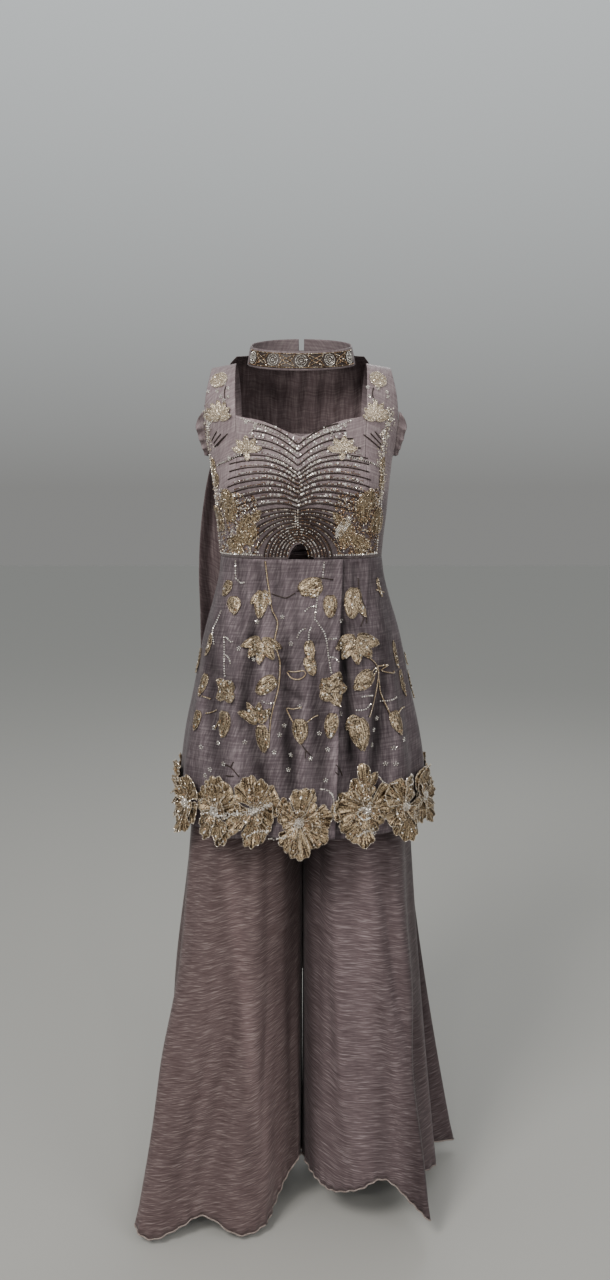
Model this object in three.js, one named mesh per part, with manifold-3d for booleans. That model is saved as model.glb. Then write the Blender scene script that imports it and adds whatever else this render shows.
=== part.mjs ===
// A three piece set in crushed tissue silk: a sleeveless peplum top, wide palazzo trousers
// and a choker that carries a long scarf down the back. Sizes are in millimetres.
// Heights are measured from the floor. X runs to the viewer's right, +Y to the back.

import * as THREE from "three";
import Module from "manifold-3d";

const wasm = await Module();
wasm.setup();

// Driving sizes
const shoulderHeight = 1450;
const clothThickness = 1.5;
const scarfThickness = 1.2;
const seamGap = 0.3;
const waistSeam = 1140;
const neckDip = 1329;
const neckCorner = 1363;
const backNeckDip = 1345;
const shoulderRidge = 1452;
const underarm = 1300;
const strapInner = 102;
const shoulderSlope = 8;
const keyholeWidth = 30;
const keyholeHeight = 24;
const peplumHem = 709;
const crotchTop = 880;
const crotchBottom = 780;
const flareStart = 960;
const waistbandTop = 1136;
const waistbandDrop = 38;
const bodyRoundness = 2.3;

const rad = THREE.MathUtils.degToRad;
const { lerp, smoothstep } = THREE.MathUtils;

const colours = {
  mauve: 0x8a7d84,
  trouser: 0x857a80,
  scarf: 0x6f6469,
  gold: 0xb39a72,
  beads: 0xa59a8c,
};
const cloth = (color) => new THREE.MeshStandardMaterial({ color, roughness: 0.72, metalness: 0.05 });
const tissue = (color) => new THREE.MeshStandardMaterial({ color, roughness: 0.45, metalness: 0.35 });

// Cross sections of the top, from the waist seam up to the shoulder ridge
const torsoSections = [
  { height: 1140, halfWidth: 134, front: 100, back: 92 },
  { height: 1175, halfWidth: 137, front: 105, back: 94 },
  { height: 1210, halfWidth: 141, front: 110, back: 97 },
  { height: 1245, halfWidth: 144, front: 112, back: 101 },
  { height: 1275, halfWidth: 147, front: 110, back: 104 },
  { height: 1300, halfWidth: 150, front: 108, back: 106 },
  { height: 1335, halfWidth: 158, front: 107, back: 107 },
  { height: 1365, halfWidth: 164, front: 103, back: 106 },
  { height: 1395, halfWidth: 165, front: 90, back: 98 },
  { height: 1418, halfWidth: 162, front: 73, back: 84 },
  { height: 1437, halfWidth: 158, front: 50, back: 62 },
  { height: 1448, halfWidth: 155, front: 26, back: 34 },
  { height: 1452, halfWidth: 154, front: 0.3, back: 0.3 },
];

// How far from the middle the panel seams and the armhole edges lie
const panelSeams = [
  { height: 1140, front: 80, back: 76 },
  { height: 1200, front: 90, back: 84 },
  { height: 1245, front: 97, back: 92 },
  { height: 1290, front: 100, back: 98 },
  { height: 1363, front: 102, back: 102 },
  { height: 1452, front: 105, back: 105 },
];
const armholeEdge = [
  { height: 1300, out: 150 },
  { height: 1312, out: 150.5 },
  { height: 1335, out: 153 },
  { height: 1365, out: 155 },
  { height: 1395, out: 153 },
  { height: 1418, out: 150 },
  { height: 1437, out: 147 },
  { height: 1452, out: 145 },
];
const cup = { angle: rad(33), spread: rad(19), height: 1250, tall: 36, out: 12 };

// Cross sections of the peplum, from its hem up to the waist seam
const peplumSections = [
  { height: 680, halfWidth: 212, front: 186, back: 164 },
  { height: 712, halfWidth: 211, front: 184, back: 162 },
  { height: 780, halfWidth: 207, front: 178, back: 156 },
  { height: 847, halfWidth: 198, front: 168, back: 149 },
  { height: 926, halfWidth: 181, front: 152, back: 138 },
  { height: 980, halfWidth: 171, front: 138, back: 128 },
  { height: 1025, halfWidth: 161, front: 125, back: 117 },
  { height: 1065, halfWidth: 149, front: 112, back: 106 },
  { height: 1106, halfWidth: 138.5, front: 103, back: 96 },
  { height: 1140, halfWidth: 134, front: 100, back: 92 },
];

// Folds of each peplum panel: degrees round the hem from the front, and how far out each stands there
const peplumFolds = {
  wrap: [
    { at: -90, out: 2 },
    { at: -77, out: -5 },
    { at: -63, out: 6 },
    { at: -50, out: -5 },
    { at: -37, out: 7 },
    { at: -25, out: 2 },
    { at: -15, out: -7 },
    { at: -3, out: 5 },
    { at: 11, out: 6 },
  ],
  under: [
    { at: 4, out: -11 },
    { at: 13, out: -9 },
    { at: 24, out: 5 },
    { at: 35, out: -6 },
    { at: 49, out: 7 },
    { at: 62, out: -5 },
    { at: 76, out: 6 },
    { at: 90, out: 2 },
  ],
  back: [
    { at: 90, out: 2 },
    { at: 103, out: -5 },
    { at: 117, out: 5 },
    { at: 130, out: -5 },
    { at: 143, out: 5 },
    { at: 155, out: -5 },
    { at: 168, out: 5 },
    { at: 180, out: -5 },
    { at: 192, out: 5 },
    { at: 205, out: -5 },
    { at: 218, out: 5 },
    { at: 231, out: -5 },
    { at: 244, out: 5 },
    { at: 257, out: -5 },
    { at: 270, out: 2 },
  ],
};
const wrapEdge = { waist: 66, hem: 51, degrees: 12 };

// Flowers sewn round the hem: degrees, height of the centre, half width, half height, turn, and how
// far the back of each stands off the folded cloth
const hemFlowers = [
  { at: -81, height: 744, wide: 34, tall: 52, turn: 90, off: 1.1 },
  { at: -59, height: 744, wide: 34, tall: 54, turn: 54, off: 1.2 },
  { at: -36, height: 747, wide: 34, tall: 56, turn: 90, off: 0.9 },
  { at: -18.5, height: 753, wide: 27, tall: 60, turn: 54, off: 0.7 },
  { at: -1, height: 740, wide: 42, tall: 58, turn: 90, off: 0.6 },
  { at: 25, height: 754, wide: 36, tall: 60, turn: 90, off: 1.5 },
  { at: 47, height: 748, wide: 35, tall: 55, turn: 54, off: 1.4 },
  { at: 71, height: 744, wide: 36, tall: 52, turn: 90, off: 1.2 },
  { at: 94, height: 745, wide: 37, tall: 52, turn: 30, off: 0.8 },
  { at: 119, height: 743, wide: 37, tall: 52, turn: 12, off: 1.7 },
  { at: 144, height: 745, wide: 37, tall: 52, turn: 44, off: 1.3 },
  { at: 167, height: 743, wide: 37, tall: 52, turn: 20, off: 0.9 },
  { at: 189, height: 745, wide: 37, tall: 52, turn: 50, off: 1.2 },
  { at: 212, height: 743, wide: 37, tall: 52, turn: 8, off: 1.7 },
  { at: 237, height: 745, wide: 37, tall: 52, turn: 36, off: 2.2 },
  { at: 258.5, height: 743, wide: 28, tall: 50, turn: 26, off: 0.7 },
];

// Tissue leaves and blossoms sewn down the front of the peplum, one vine after another, from the top
const vines = [
  [
    { x: -150, height: 1000, half: 8, long: 36 },
    { x: -157, height: 936, half: 9, long: 34 },
    { x: -163, height: 882, half: 9, long: 32 },
  ],
  [
    { x: -108, height: 1066, half: 11, long: 34 },
    { x: -120, height: 1000, half: 2.5, long: 40 },
    { x: -117, height: 934, half: 18, long: 42 },
    { x: -119, height: 880, half: 10, long: 40 },
  ],
  [
    { x: -60, height: 1066, half: 11, long: 42 },
    { x: -62, height: 1000, half: 16, long: 40 },
    { x: -50, height: 946, half: 14, long: 38 },
    { x: -61, height: 876, half: 14, long: 50 },
  ],
  [
    { x: 13, height: 1094, half: 14, long: 36 },
    { x: 20, height: 1040, half: 2.5, long: 36 },
    { x: 10, height: 984, half: 9, long: 42 },
    { x: -2, height: 880, half: 13, long: 38 },
  ],
  [
    { x: 42, height: 1068, half: 10, long: 32 },
    { x: 34, height: 1000, half: 2.5, long: 50 },
    { x: 38, height: 936, half: 15, long: 44 },
    { x: 40, height: 884, half: 9, long: 38 },
  ],
  [
    { x: 85, height: 1070, half: 13, long: 46 },
    { x: 88, height: 1004, half: 17, long: 40 },
    { x: 99, height: 950, half: 14, long: 38 },
    { x: 91, height: 876, half: 12, long: 46 },
  ],
  [
    { x: 127, height: 1088, half: 7, long: 28 },
    { x: 146, height: 984, half: 9, long: 42 },
    { x: 152, height: 884, half: 10, long: 36 },
  ],
];

// Cross sections of the palazzo from the floor up, before its flare
const hipSections = [
  { height: 0, halfWidth: 180, front: 118, back: 124 },
  { height: 640, halfWidth: 178, front: 118, back: 126 },
  { height: 800, halfWidth: 174, front: 115, back: 124 },
  { height: 860, halfWidth: 170, front: 113, back: 121 },
  { height: 930, halfWidth: 162, front: 110, back: 116 },
  { height: 1000, halfWidth: 150, front: 106, back: 106 },
  { height: 1060, halfWidth: 138, front: 100, back: 97 },
  { height: 1098, halfWidth: 132.2, front: 98.2, back: 90.2 },
  { height: 1140, halfWidth: 132.2, front: 98.2, back: 90.2 },
];

// Where each fold of a leg's hem lies on the floor plan, and how far it is lifted.
// The front rows run from the outseam to the inseam, the back rows from the inseam to the outseam.
const legHems = {
  left: {
    front: [
      { x: -266, y: -34, lift: 30 },
      { x: -260, y: -105, lift: 34 },
      { x: -280, y: -168, lift: 22 },
      { x: -250, y: -188, lift: 12 },
      { x: -205, y: -176, lift: 24 },
      { x: -165, y: -166, lift: 38 },
      { x: -106, y: -178, lift: 12 },
      { x: -62, y: -162, lift: 18 },
      { x: -44, y: -124, lift: 34 },
      { x: -24, y: -106, lift: 70 },
      { x: -2, y: -106, lift: 104 },
    ],
    back: [
      { x: -1, y: -66, lift: 86 },
      { x: -2, y: -8, lift: 64 },
      { x: -14, y: 49, lift: 44 },
      { x: -58, y: 98, lift: 20 },
      { x: -98, y: 72, lift: 30 },
      { x: -142, y: 112, lift: 14 },
      { x: -186, y: 80, lift: 28 },
      { x: -234, y: 100, lift: 16 },
      { x: -246, y: 50, lift: 30 },
      { x: -280, y: 14, lift: 22 },
    ],
  },
  right: {
    front: [
      { x: 248, y: -13, lift: 20 },
      { x: 203, y: -78, lift: 36 },
      { x: 216, y: -174, lift: 38 },
      { x: 186, y: -170, lift: 64 },
      { x: 141, y: -156, lift: 98 },
      { x: 95, y: -162, lift: 84 },
      { x: 50, y: -140, lift: 66 },
      { x: 18, y: -120, lift: 84 },
    ],
    back: [
      { x: 1, y: -66, lift: 88 },
      { x: 2, y: -8, lift: 64 },
      { x: 22, y: 45, lift: 44 },
      { x: 60, y: 98, lift: 20 },
      { x: 100, y: 70, lift: 30 },
      { x: 142, y: 112, lift: 14 },
      { x: 186, y: 78, lift: 28 },
      { x: 232, y: 112, lift: 16 },
      { x: 238, y: 70, lift: 30 },
      { x: 290, y: 56, lift: 18 },
      { x: 222, y: 18, lift: 34 },
    ],
  },
};

const choker = {
  halfWidth: 85,
  front: 70,
  back: 64,
  tall: 30,
  lean: 3,
  middle: 1465,
  dip: 18.5,
  thickness: 2,
  opening: rad(3),
  patchReach: rad(72),
  patchTall: 23,
  patchThickness: 1.2,
};
const rosettes = [-60, -40, -20, 0, 20, 40, 60].map(rad);

// The scarf from its hem up: its side edges, how far back its middle and edges hang, and its folds
const scarfRows = [
  { height: 300, left: 196, right: 190, middle: 186, edge: 160, fold: 13 },
  { height: 600, left: 192, right: 176, middle: 185, edge: 152, fold: 11 },
  { height: 712, left: 190, right: 170, middle: 183, edge: 148, fold: 9 },
  { height: 847, left: 188, right: 160, middle: 167, edge: 134, fold: 7 },
  { height: 926, left: 186, right: 152, middle: 154, edge: 126, fold: 6 },
  { height: 1025, left: 184, right: 140, middle: 134, edge: 114, fold: 5 },
  { height: 1100, left: 184, right: 132, middle: 118, edge: 104, fold: 5 },
  { height: 1180, left: 179, right: 126, middle: 109, edge: 98, fold: 5 },
  { height: 1250, left: 168, right: 122, middle: 107, edge: 90, fold: 4.5 },
  { height: 1300, left: 156, right: 120, middle: 108.4, edge: 82, fold: 4 },
  { height: 1350, left: 146, right: 118, middle: 109.4, edge: 74, fold: 3.5 },
  { height: 1395, left: 138, right: 118, middle: 104, edge: 66, fold: 3 },
  { height: 1430, left: 128, right: 118, middle: 92, edge: 52, fold: 3 },
  { height: 1452, left: 120, right: 114, middle: 84, edge: 32, fold: 2.5 },
  { height: 1464, left: 106, right: 103, middle: 78, edge: 12, fold: 2 },
];
const scarfFolds = 8;
const scarfTop = 1464;
const scarfHem = 300;
const scarfStart = 0.09;

// A smooth curve through one column of a table, read at a value of its key column
function valueAt(table, key, at, column) {
  const last = table.length - 1;
  let i = 0;
  while (i < last - 1 && at > table[i + 1][key]) i++;
  const slope = (k) => {
    const a = table[Math.max(k - 1, 0)];
    const b = table[Math.min(k + 1, last)];
    return (b[column] - a[column]) / (b[key] - a[key]);
  };
  const span = table[i + 1][key] - table[i][key];
  const t = THREE.MathUtils.clamp((at - table[i][key]) / span, 0, 1);
  const [t2, t3] = [t * t, t * t * t];
  return (
    (2 * t3 - 3 * t2 + 1) * table[i][column] +
    (t3 - 2 * t2 + t) * span * slope(i) +
    (3 * t2 - 2 * t3) * table[i + 1][column] +
    (t3 - t2) * span * slope(i + 1)
  );
}

// A closed smooth loop through the rows of a table, read at a row number that may hold a fraction
function loopAt(table, at, column) {
  const count = table.length;
  const i = Math.floor(at);
  const t = at - i;
  const [a, b, c, d] = [-1, 0, 1, 2].map((k) => table[(i + k + 2 * count) % count][column]);
  return b + 0.5 * t * (c - a + t * (2 * a - 5 * b + 4 * c - d + t * (3 * (b - c) + d - a)));
}

const roundPower = (value, power) => Math.sign(value) * Math.abs(value) ** power;

// The angle at which a ring of this half width reaches a distance from the middle
const angleAt = (out, halfWidth) => Math.asin(Math.min(out / halfWidth, 1) ** (bodyRoundness / 2));

// A point of a rounded cross section. Angle 0 faces front, and +90 degrees is the viewer's right.
function ringPoint(sections, angle, height, out = 0) {
  const [width, front, back] = ["halfWidth", "front", "back"].map((c) => valueAt(sections, "height", height, c));
  const depth = Math.cos(angle) > 0 ? front : back;
  const x = width * roundPower(Math.sin(angle), 2 / bodyRoundness);
  const y = -depth * roundPower(Math.cos(angle), 2 / bodyRoundness);
  const away = new THREE.Vector2(x / width ** 2, y / depth ** 2).normalize();
  return new THREE.Vector3(x + away.x * out, y + away.y * out, height);
}

function torsoPoint(angle, height) {
  const turn = (Math.abs(angle) - cup.angle) / cup.spread;
  const rise = (height - cup.height) / cup.tall;
  const point = ringPoint(torsoSections, angle, height, cup.out * Math.exp(-turn * turn - rise * rise));
  const slope = smoothstep(height, 1380, shoulderRidge) * Math.max(Math.abs(point.x) - strapInner, 0);
  point.z -= (shoulderSlope * slope) / 43;
  return point;
}

// A wall of cloth with an even thickness. surface(u, v) gives its outer face, where u runs to the
// right and v runs down, seen from outside. keep() may move a point back to its side of a seam.
function clothWall({ columns, rows, surface, thickness = clothThickness, keep = (p) => p, relief }) {
  const step = 1e-3;
  const outer = [];
  const inner = [];
  for (let j = 0; j <= rows; j++)
    for (let i = 0; i <= columns; i++) {
      const [u, v] = [i / columns, j / rows];
      const across = surface(u + step, v).sub(surface(u - step, v));
      const down = surface(u, v + step).sub(surface(u, v - step));
      const normal = down.cross(across).normalize();
      const point = surface(u, v);
      inner.push(keep(point.clone().addScaledVector(normal, -thickness)));
      outer.push(keep(point.addScaledVector(normal, relief ? relief(u, v) : 0)));
    }
  const width = columns + 1;
  const shift = outer.length;
  const faces = [];
  const quad = (a, b, c, d) => faces.push(a, b, c, a, c, d);
  for (let j = 0; j < rows; j++)
    for (let i = 0; i < columns; i++) {
      const a = j * width + i;
      quad(a, a + width, a + width + 1, a + 1);
      quad(a + shift, a + 1 + shift, a + width + 1 + shift, a + width + shift);
    }
  const rim = (a, b) => quad(a, b, b + shift, a + shift);
  for (let i = 0; i < columns; i++) {
    rim(i, i + 1);
    rim(rows * width + i + 1, rows * width + i);
  }
  for (let j = 0; j < rows; j++) {
    rim((j + 1) * width, j * width);
    rim(j * width + columns, (j + 1) * width + columns);
  }
  return solid([...outer, ...inner], faces);
}

function solid(points, faces) {
  const positions = new Float32Array(points.flatMap((p) => p.toArray()));
  return new THREE.BufferGeometry()
    .setAttribute("position", new THREE.BufferAttribute(positions, 3))
    .setIndex(new THREE.BufferAttribute(new Uint32Array(faces), 1));
}

const set = new THREE.Group();
const garment = new THREE.Group();
garment.position.z = -shoulderHeight;
set.add(garment);

function add(name, geometry, material) {
  const mesh = new THREE.Mesh(geometry, material);
  mesh.name = name;
  garment.add(mesh);
}

const before = (p) => p.setY(Math.min(p.y, -seamGap / 2));
const behind = (p) => p.setY(Math.max(p.y, seamGap / 2));
const sides = { left: -1, right: 1 };

// The angle of a panel seam, half a seam's gap to either side of it, and that of an armhole edge
function seamAngle(height, face, shift) {
  const out = valueAt(panelSeams, "height", height, face) + shift;
  return angleAt(out, valueAt(torsoSections, "height", height, "halfWidth"));
}
function armholeAngle(height) {
  if (height <= underarm) return Math.PI / 2;
  const out = valueAt(armholeEdge, "height", height, "out");
  return angleAt(out, valueAt(torsoSections, "height", height, "halfWidth"));
}

function neckHeight(share) {
  const swell = 5 * Math.sin(Math.PI * Math.abs(share)) ** 2;
  return lerp(neckDip, neckCorner, Math.abs(share) ** 0.9) + swell;
}

// The middle front: a sweetheart neck above, and half of the keyhole cut out of its lower edge
function makeBodiceFront() {
  const surface = (u, v) => {
    const share = 2 * u - 1;
    const nearKey = Math.max(1 - ((share * 80) / (keyholeWidth / 2)) ** 2, 0);
    const foot = waistSeam + seamGap / 2 + keyholeHeight * nearKey ** 0.8;
    const height = lerp(neckHeight(share), foot, v);
    return torsoPoint(share * seamAngle(height, "front", -seamGap / 2), height);
  };
  add("bodice_front", clothWall({ columns: 20, rows: 8, surface }), cloth(colours.mauve));
}

function makeBodiceBack() {
  const surface = (u, v) => {
    const share = 1 - 2 * u;
    const top = lerp(backNeckDip, neckCorner, share * share);
    const height = lerp(top, waistSeam + seamGap / 2, v);
    return torsoPoint(Math.PI - share * seamAngle(height, "back", -seamGap / 2), height);
  };
  add("bodice_back", clothWall({ columns: 14, rows: 8, surface }), cloth(colours.mauve));
}

// A side panel runs from the waist up past the underarm and on as the shoulder strap. Below the
// corner of the neck it has the same eight rows as the panel next to it.
function makeSidePanel(side, face) {
  const sign = sides[side];
  const front = face === "front";
  const rows = 14;
  const strapShare = 6 / rows;
  const surface = (u, v) => {
    const share = (sign > 0) === front ? u : 1 - u;
    const strap = lerp(shoulderRidge, neckCorner, (Math.max(v, 0) / strapShare) ** 1.5);
    const below = lerp(neckCorner, waistSeam + seamGap / 2, (v - strapShare) / (1 - strapShare));
    const height = v < strapShare ? strap : below;
    const turn = lerp(seamAngle(height, face, seamGap / 2), armholeAngle(height), share);
    return torsoPoint(sign * (front ? turn : Math.PI - turn), height);
  };
  const wall = clothWall({ columns: 5, rows, surface, keep: front ? before : behind });
  add(`side_${face}_${side}`, wall, cloth(colours.mauve));
}

// A narrow gathered frill that stands out round the lower half of each armhole
function makeArmholeFrill(side) {
  const frill = { top: 1372, low: 1304, reach: 17, waves: 9, wave: 2.4, gap: 0.5 };
  const surface = (u, v) => {
    const along = 2 * u - 1;
    const height = lerp(frill.low, frill.top, Math.abs(along) ** 1.4);
    const turn = armholeAngle(height);
    const root = torsoPoint(along < 0 ? turn : Math.PI - turn, height);
    const taper = 1 - 0.7 * smoothstep(Math.abs(along), 0.78, 1);
    const reach = frill.reach * v * (0.35 + 0.65 * Math.abs(along)) * taper;
    root.x += frill.gap + reach;
    root.y += frill.wave * v * Math.sin(along * Math.PI * frill.waves);
    root.z += -0.3 * reach + 0.5 * frill.wave * v * Math.cos(along * Math.PI * frill.waves);
    return side === "left" ? new THREE.Vector3(-root.x, root.y, root.z) : root;
  };
  const turned = side === "left" ? surface : (u, v) => surface(1 - u, v);
  add(`armhole_frill_${side}`, clothWall({ columns: 36, rows: 2, surface: turned, thickness: 1 }), tissue(colours.mauve));
}

// The angle of the wrap's free edge, which falls almost straight down the front
function wrapAngle(height) {
  const drop = (waistSeam - height) / (waistSeam - peplumHem);
  const halfWidth = valueAt(peplumSections, "height", height, "halfWidth");
  return angleAt(lerp(wrapEdge.waist, wrapEdge.hem, drop), halfWidth);
}

// A point of a peplum panel: share runs from the panel's left edge to its right edge
function peplumPoint(panel, share, height, lift = 0) {
  const folds = peplumFolds[panel];
  const [first, last] = [folds[0].at, folds[folds.length - 1].at];
  const drop = THREE.MathUtils.clamp((waistSeam - height) / (waistSeam - peplumHem), 0, 1.1);
  const fold = valueAt(folds, "at", lerp(first, last, share), "out") * drop ** 1.1;
  let [from, to] = [rad(first), rad(last)];
  if (panel === "wrap") to = wrapAngle(height);
  if (panel === "under") from = wrapAngle(height) - rad(7);
  const lapped = panel === "wrap" ? 2.1 * smoothstep(share, 0.74, 0.9) : 0;
  return ringPoint(peplumSections, lerp(from, to, share), height, fold + lapped + lift);
}

function makePeplumPanel(panel, columns, keep) {
  const surface = (u, v) => {
    const hem = peplumHem + 3 * Math.cos(u * Math.PI * 8);
    return peplumPoint(panel, u, lerp(waistSeam - seamGap / 2, hem, v));
  };
  add(`peplum_${panel}`, clothWall({ columns, rows: 8, surface, keep }), cloth(colours.mauve));
}

// A place on the peplum by its degrees round the hem, whichever panel it is on
function peplumPlace(degrees, height, lift) {
  const round = degrees < -90 ? degrees + 360 : degrees;
  const panel = round > 90 ? "back" : round > wrapEdge.degrees ? "under" : "wrap";
  const folds = peplumFolds[panel];
  const share = (round - folds[0].at) / (folds[folds.length - 1].at - folds[0].at);
  return peplumPoint(panel, share, height, lift);
}

// An open flower: five petals in a flat star that follows the cloth and stands a little off it
function makeFlower(name, { at, height, wide, tall, turn, off }) {
  const segments = 15;
  const petalEdge = [0.78, 0.98, 0.98];
  const perDegree = peplumPlace(at + 1, height, 0).distanceTo(peplumPlace(at, height, 0));
  const place = (angle, r, lift) =>
    peplumPlace(at + (r * wide * Math.cos(angle)) / perDegree, height + r * tall * Math.sin(angle), lift);
  const points = [];
  for (const front of [true, false]) {
    points.push(place(0, 0, front ? off + 3 : off));
    for (const ring of [0.5, 1])
      for (let k = 0; k < segments; k++) {
        const edge = ring === 1 ? petalEdge[k % 3] : 0.8 + 0.2 * petalEdge[k % 3];
        const thick = ring === 1 ? 1.3 : 2.8;
        points.push(place(rad(turn) + (k / segments) * Math.PI * 2, ring * edge, front ? off + thick : off));
      }
  }
  const shift = points.length / 2;
  const faces = [];
  for (let k = 0; k < segments; k++) {
    const next = (k + 1) % segments;
    const [a, b, c, d] = [1 + k, 1 + next, 1 + segments + k, 1 + segments + next];
    faces.push(0, a, b, a, c, d, a, d, b);
    faces.push(shift, b + shift, a + shift, a + shift, d + shift, c + shift, a + shift, b + shift, d + shift);
    faces.push(c, c + shift, d + shift, c, d + shift, d);
  }
  add(name, solid(points, faces), tissue(colours.gold));
}

// A place on the front of the peplum by its distance from the middle
function peplumFront(x, height, lift) {
  const turn = Math.sign(x) * angleAt(Math.abs(x), valueAt(peplumSections, "height", height, "halfWidth"));
  const edge = wrapAngle(height);
  const [wrapStart, underStart, end] = [-Math.PI / 2, edge - rad(7), Math.PI / 2];
  if (turn < edge) return peplumPoint("wrap", (turn - wrapStart) / (edge - wrapStart), height, lift);
  return peplumPoint("under", (turn - underStart) / (end - underStart), height, lift);
}

// A vine is one strip of tissue that widens into each of its leaves and narrows to a stem between them
function makeVine(name, leaves) {
  const stem = 1.6;
  const outline = [[-0.5, 0.1], [-0.18, 1], [0.2, 0.85], [0.5, 0.1]];
  const rows = leaves.flatMap((leaf, k) => {
    const next = leaves[Math.min(k + 1, leaves.length - 1)];
    const last = leaves[Math.max(k - 1, 0)];
    const along = new THREE.Vector2(next.x - last.x, next.height - last.height).normalize();
    return outline.map(([share, width]) => ({
      at: new THREE.Vector2(leaf.x, leaf.height).addScaledVector(along, leaf.long * share),
      half: Math.max(leaf.half * width, stem),
    }));
  });
  for (const [k, row] of rows.entries()) {
    const along = rows[Math.min(k + 1, rows.length - 1)].at.clone().sub(rows[Math.max(k - 1, 0)].at);
    row.across = new THREE.Vector2(-along.y, along.x).normalize();
  }
  const surface = (u, v) => {
    const k = v * (rows.length - 1);
    const i = THREE.MathUtils.clamp(Math.floor(k), 0, rows.length - 2);
    const across = rows[i].across.clone().lerp(rows[i + 1].across, k - i);
    const half = lerp(rows[i].half, rows[i + 1].half, k - i);
    const at = rows[i].at.clone().lerp(rows[i + 1].at, k - i).addScaledVector(across, (2 * u - 1) * half);
    return peplumFront(at.x, at.y, 3);
  };
  add(name, clothWall({ columns: 2, rows: rows.length - 1, surface, thickness: 1.2 }), tissue(colours.gold));
}

const loopOf = (side) => [...legHems[side].front, ...legHems[side].back];

// A point of a leg panel: share runs from the outseam to the inseam or the centre seam
function legPoint(side, face, share, fall) {
  const sign = sides[side];
  const rows = loopOf(side);
  const frontRows = legHems[side].front.length;
  const along = face === "front" ? share * frontRows : rows.length - share * (rows.length - frontRows);
  const [hemX, hemY, lift] = ["x", "y", "lift"].map((c) => loopAt(rows, along, c));
  const height = lerp(waistbandTop - waistbandDrop - seamGap, lift, fall);
  const legPart = 1 - smoothstep(height, crotchBottom, crotchTop);
  const [width, depth] = ["halfWidth", face].map((c) => valueAt(hipSections, "height", height, c));
  const radius = width / (1 + Math.sin((legPart * Math.PI) / 2));
  const turn = share * (Math.PI / 2) * (1 + legPart);
  const forward = face === "front" ? -1 : 1;
  const x = sign * (radius * Math.cos(turn) + width - radius);
  const y = forward * depth * Math.sin(turn);
  const flare = Math.max((flareStart - height) / (flareStart - lift), 0) ** 1.5;
  const point = new THREE.Vector3(lerp(x, hemX, flare), lerp(y, hemY, flare), height);
  point.x = sign * Math.max(sign * point.x, seamGap / 2);
  return point;
}

function makeLegPanel(side, face) {
  const trim = 0.0007;
  const reversed = (side === "left") === (face === "back");
  const surface = (u, v) => legPoint(side, face, lerp(trim, 1 - trim, reversed ? 1 - u : u), v);
  const own = sides[side];
  const keep = (p) => p.setX(own * Math.max(own * p.x, seamGap / 2));
  const wall = clothWall({ columns: face === "front" ? 24 : 20, rows: 9, surface, keep });
  add(`palazzo_${face}_${side}`, wall, cloth(colours.trouser));
}

function makeWaistband(face) {
  const start = face === "front" ? -90 : 90;
  const surface = (u, v) => {
    const point = ringPoint(hipSections, rad(start + 180 * u), waistbandTop - waistbandDrop * v);
    return face === "front" ? before(point) : behind(point);
  };
  const wall = clothWall({ columns: 24, rows: 1, surface, thickness: 2, keep: face === "front" ? before : behind });
  add(`waistband_${face}`, wall, cloth(colours.trouser));
}

// The choker lies round the foot of the neck, lower at the front than at the nape
function chokerPoint(angle, across, out = 0) {
  const lean = choker.lean * across;
  const depth = Math.cos(angle) > 0 ? choker.front : choker.back;
  const x = (choker.halfWidth + lean + out) * Math.sin(angle);
  const y = -(depth + lean + out) * Math.cos(angle);
  const z = choker.middle - choker.dip * Math.cos(angle) - (across * choker.tall) / 2;
  return new THREE.Vector3(x, y, z);
}

function makeChoker() {
  const half = Math.PI - choker.opening;
  const surface = (u, v) => chokerPoint(lerp(-half, half, u), 2 * v - 1);
  add("choker_band", clothWall({ columns: 40, rows: 2, surface, thickness: choker.thickness }), cloth(colours.mauve));
  const patch = (u, v) => {
    const angle = lerp(-choker.patchReach, choker.patchReach, u);
    return chokerPoint(angle, ((2 * v - 1) * choker.patchTall) / choker.tall, seamGap + choker.patchThickness);
  };
  const relief = (u, v) => {
    const angle = lerp(-choker.patchReach, choker.patchReach, u);
    const near = Math.min(...rosettes.map((r) => Math.abs(angle - r))) / rad(7);
    return 1.6 * Math.max(1 - near * near - (2 * v - 1) ** 2 * 0.8, 0);
  };
  const strip = clothWall({ columns: 42, rows: 3, surface: patch, thickness: choker.patchThickness, relief });
  add("choker_embroidery", strip, tissue(colours.beads));
}

// How far back the back of the top or of the peplum reaches, at a distance from the middle
function backAt(x, height) {
  const sections = height > waistSeam ? torsoSections : peplumSections;
  const drop = (shoulderSlope * Math.max(Math.abs(x) - strapInner, 0)) / 43;
  const level = Math.min(height + drop * smoothstep(height, 1380, shoulderRidge), shoulderRidge);
  const share = Math.abs(x) / valueAt(sections, "height", level, "halfWidth");
  if (share >= 1) return 0;
  return valueAt(sections, "height", level, "back") * (1 - share ** bodyRoundness) ** (1 / bodyRoundness);
}

// The scarf leaves the sides and nape of the choker, crosses the shoulders and hangs down the back
function scarfPoint(share, fall) {
  const drop = Math.max((fall - scarfStart) / (1 - scarfStart), 0);
  const height = lerp(scarfTop, scarfHem, drop ** 1.5);
  const [left, right, middle, edge, fold] = ["left", "right", "middle", "edge", "fold"].map((c) =>
    valueAt(scarfRows, "height", height, c),
  );
  const x = lerp(-left, right, share);
  const side = x < 0 ? x / left : x / right;
  const hang = lerp(middle, edge, side * side);
  const slack = lerp(12, 2, smoothstep(height, 800, waistSeam)) + 9 * smoothstep(height, 1355, 1420);
  const body = backAt(x, height) + scarfThickness + slack;
  const clear = (hang + body + Math.hypot(hang - body, 3)) / 2;
  const wave = fold * (1 - Math.cos(share * Math.PI * 2 * scarfFolds));
  const hanging = new THREE.Vector3(x, clear + wave, height);
  const collar = chokerPoint(rad(-96 - 168 * share), 0.2, scarfThickness + seamGap);
  return collar.lerp(hanging, smoothstep(fall, 0, scarfStart));
}

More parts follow.
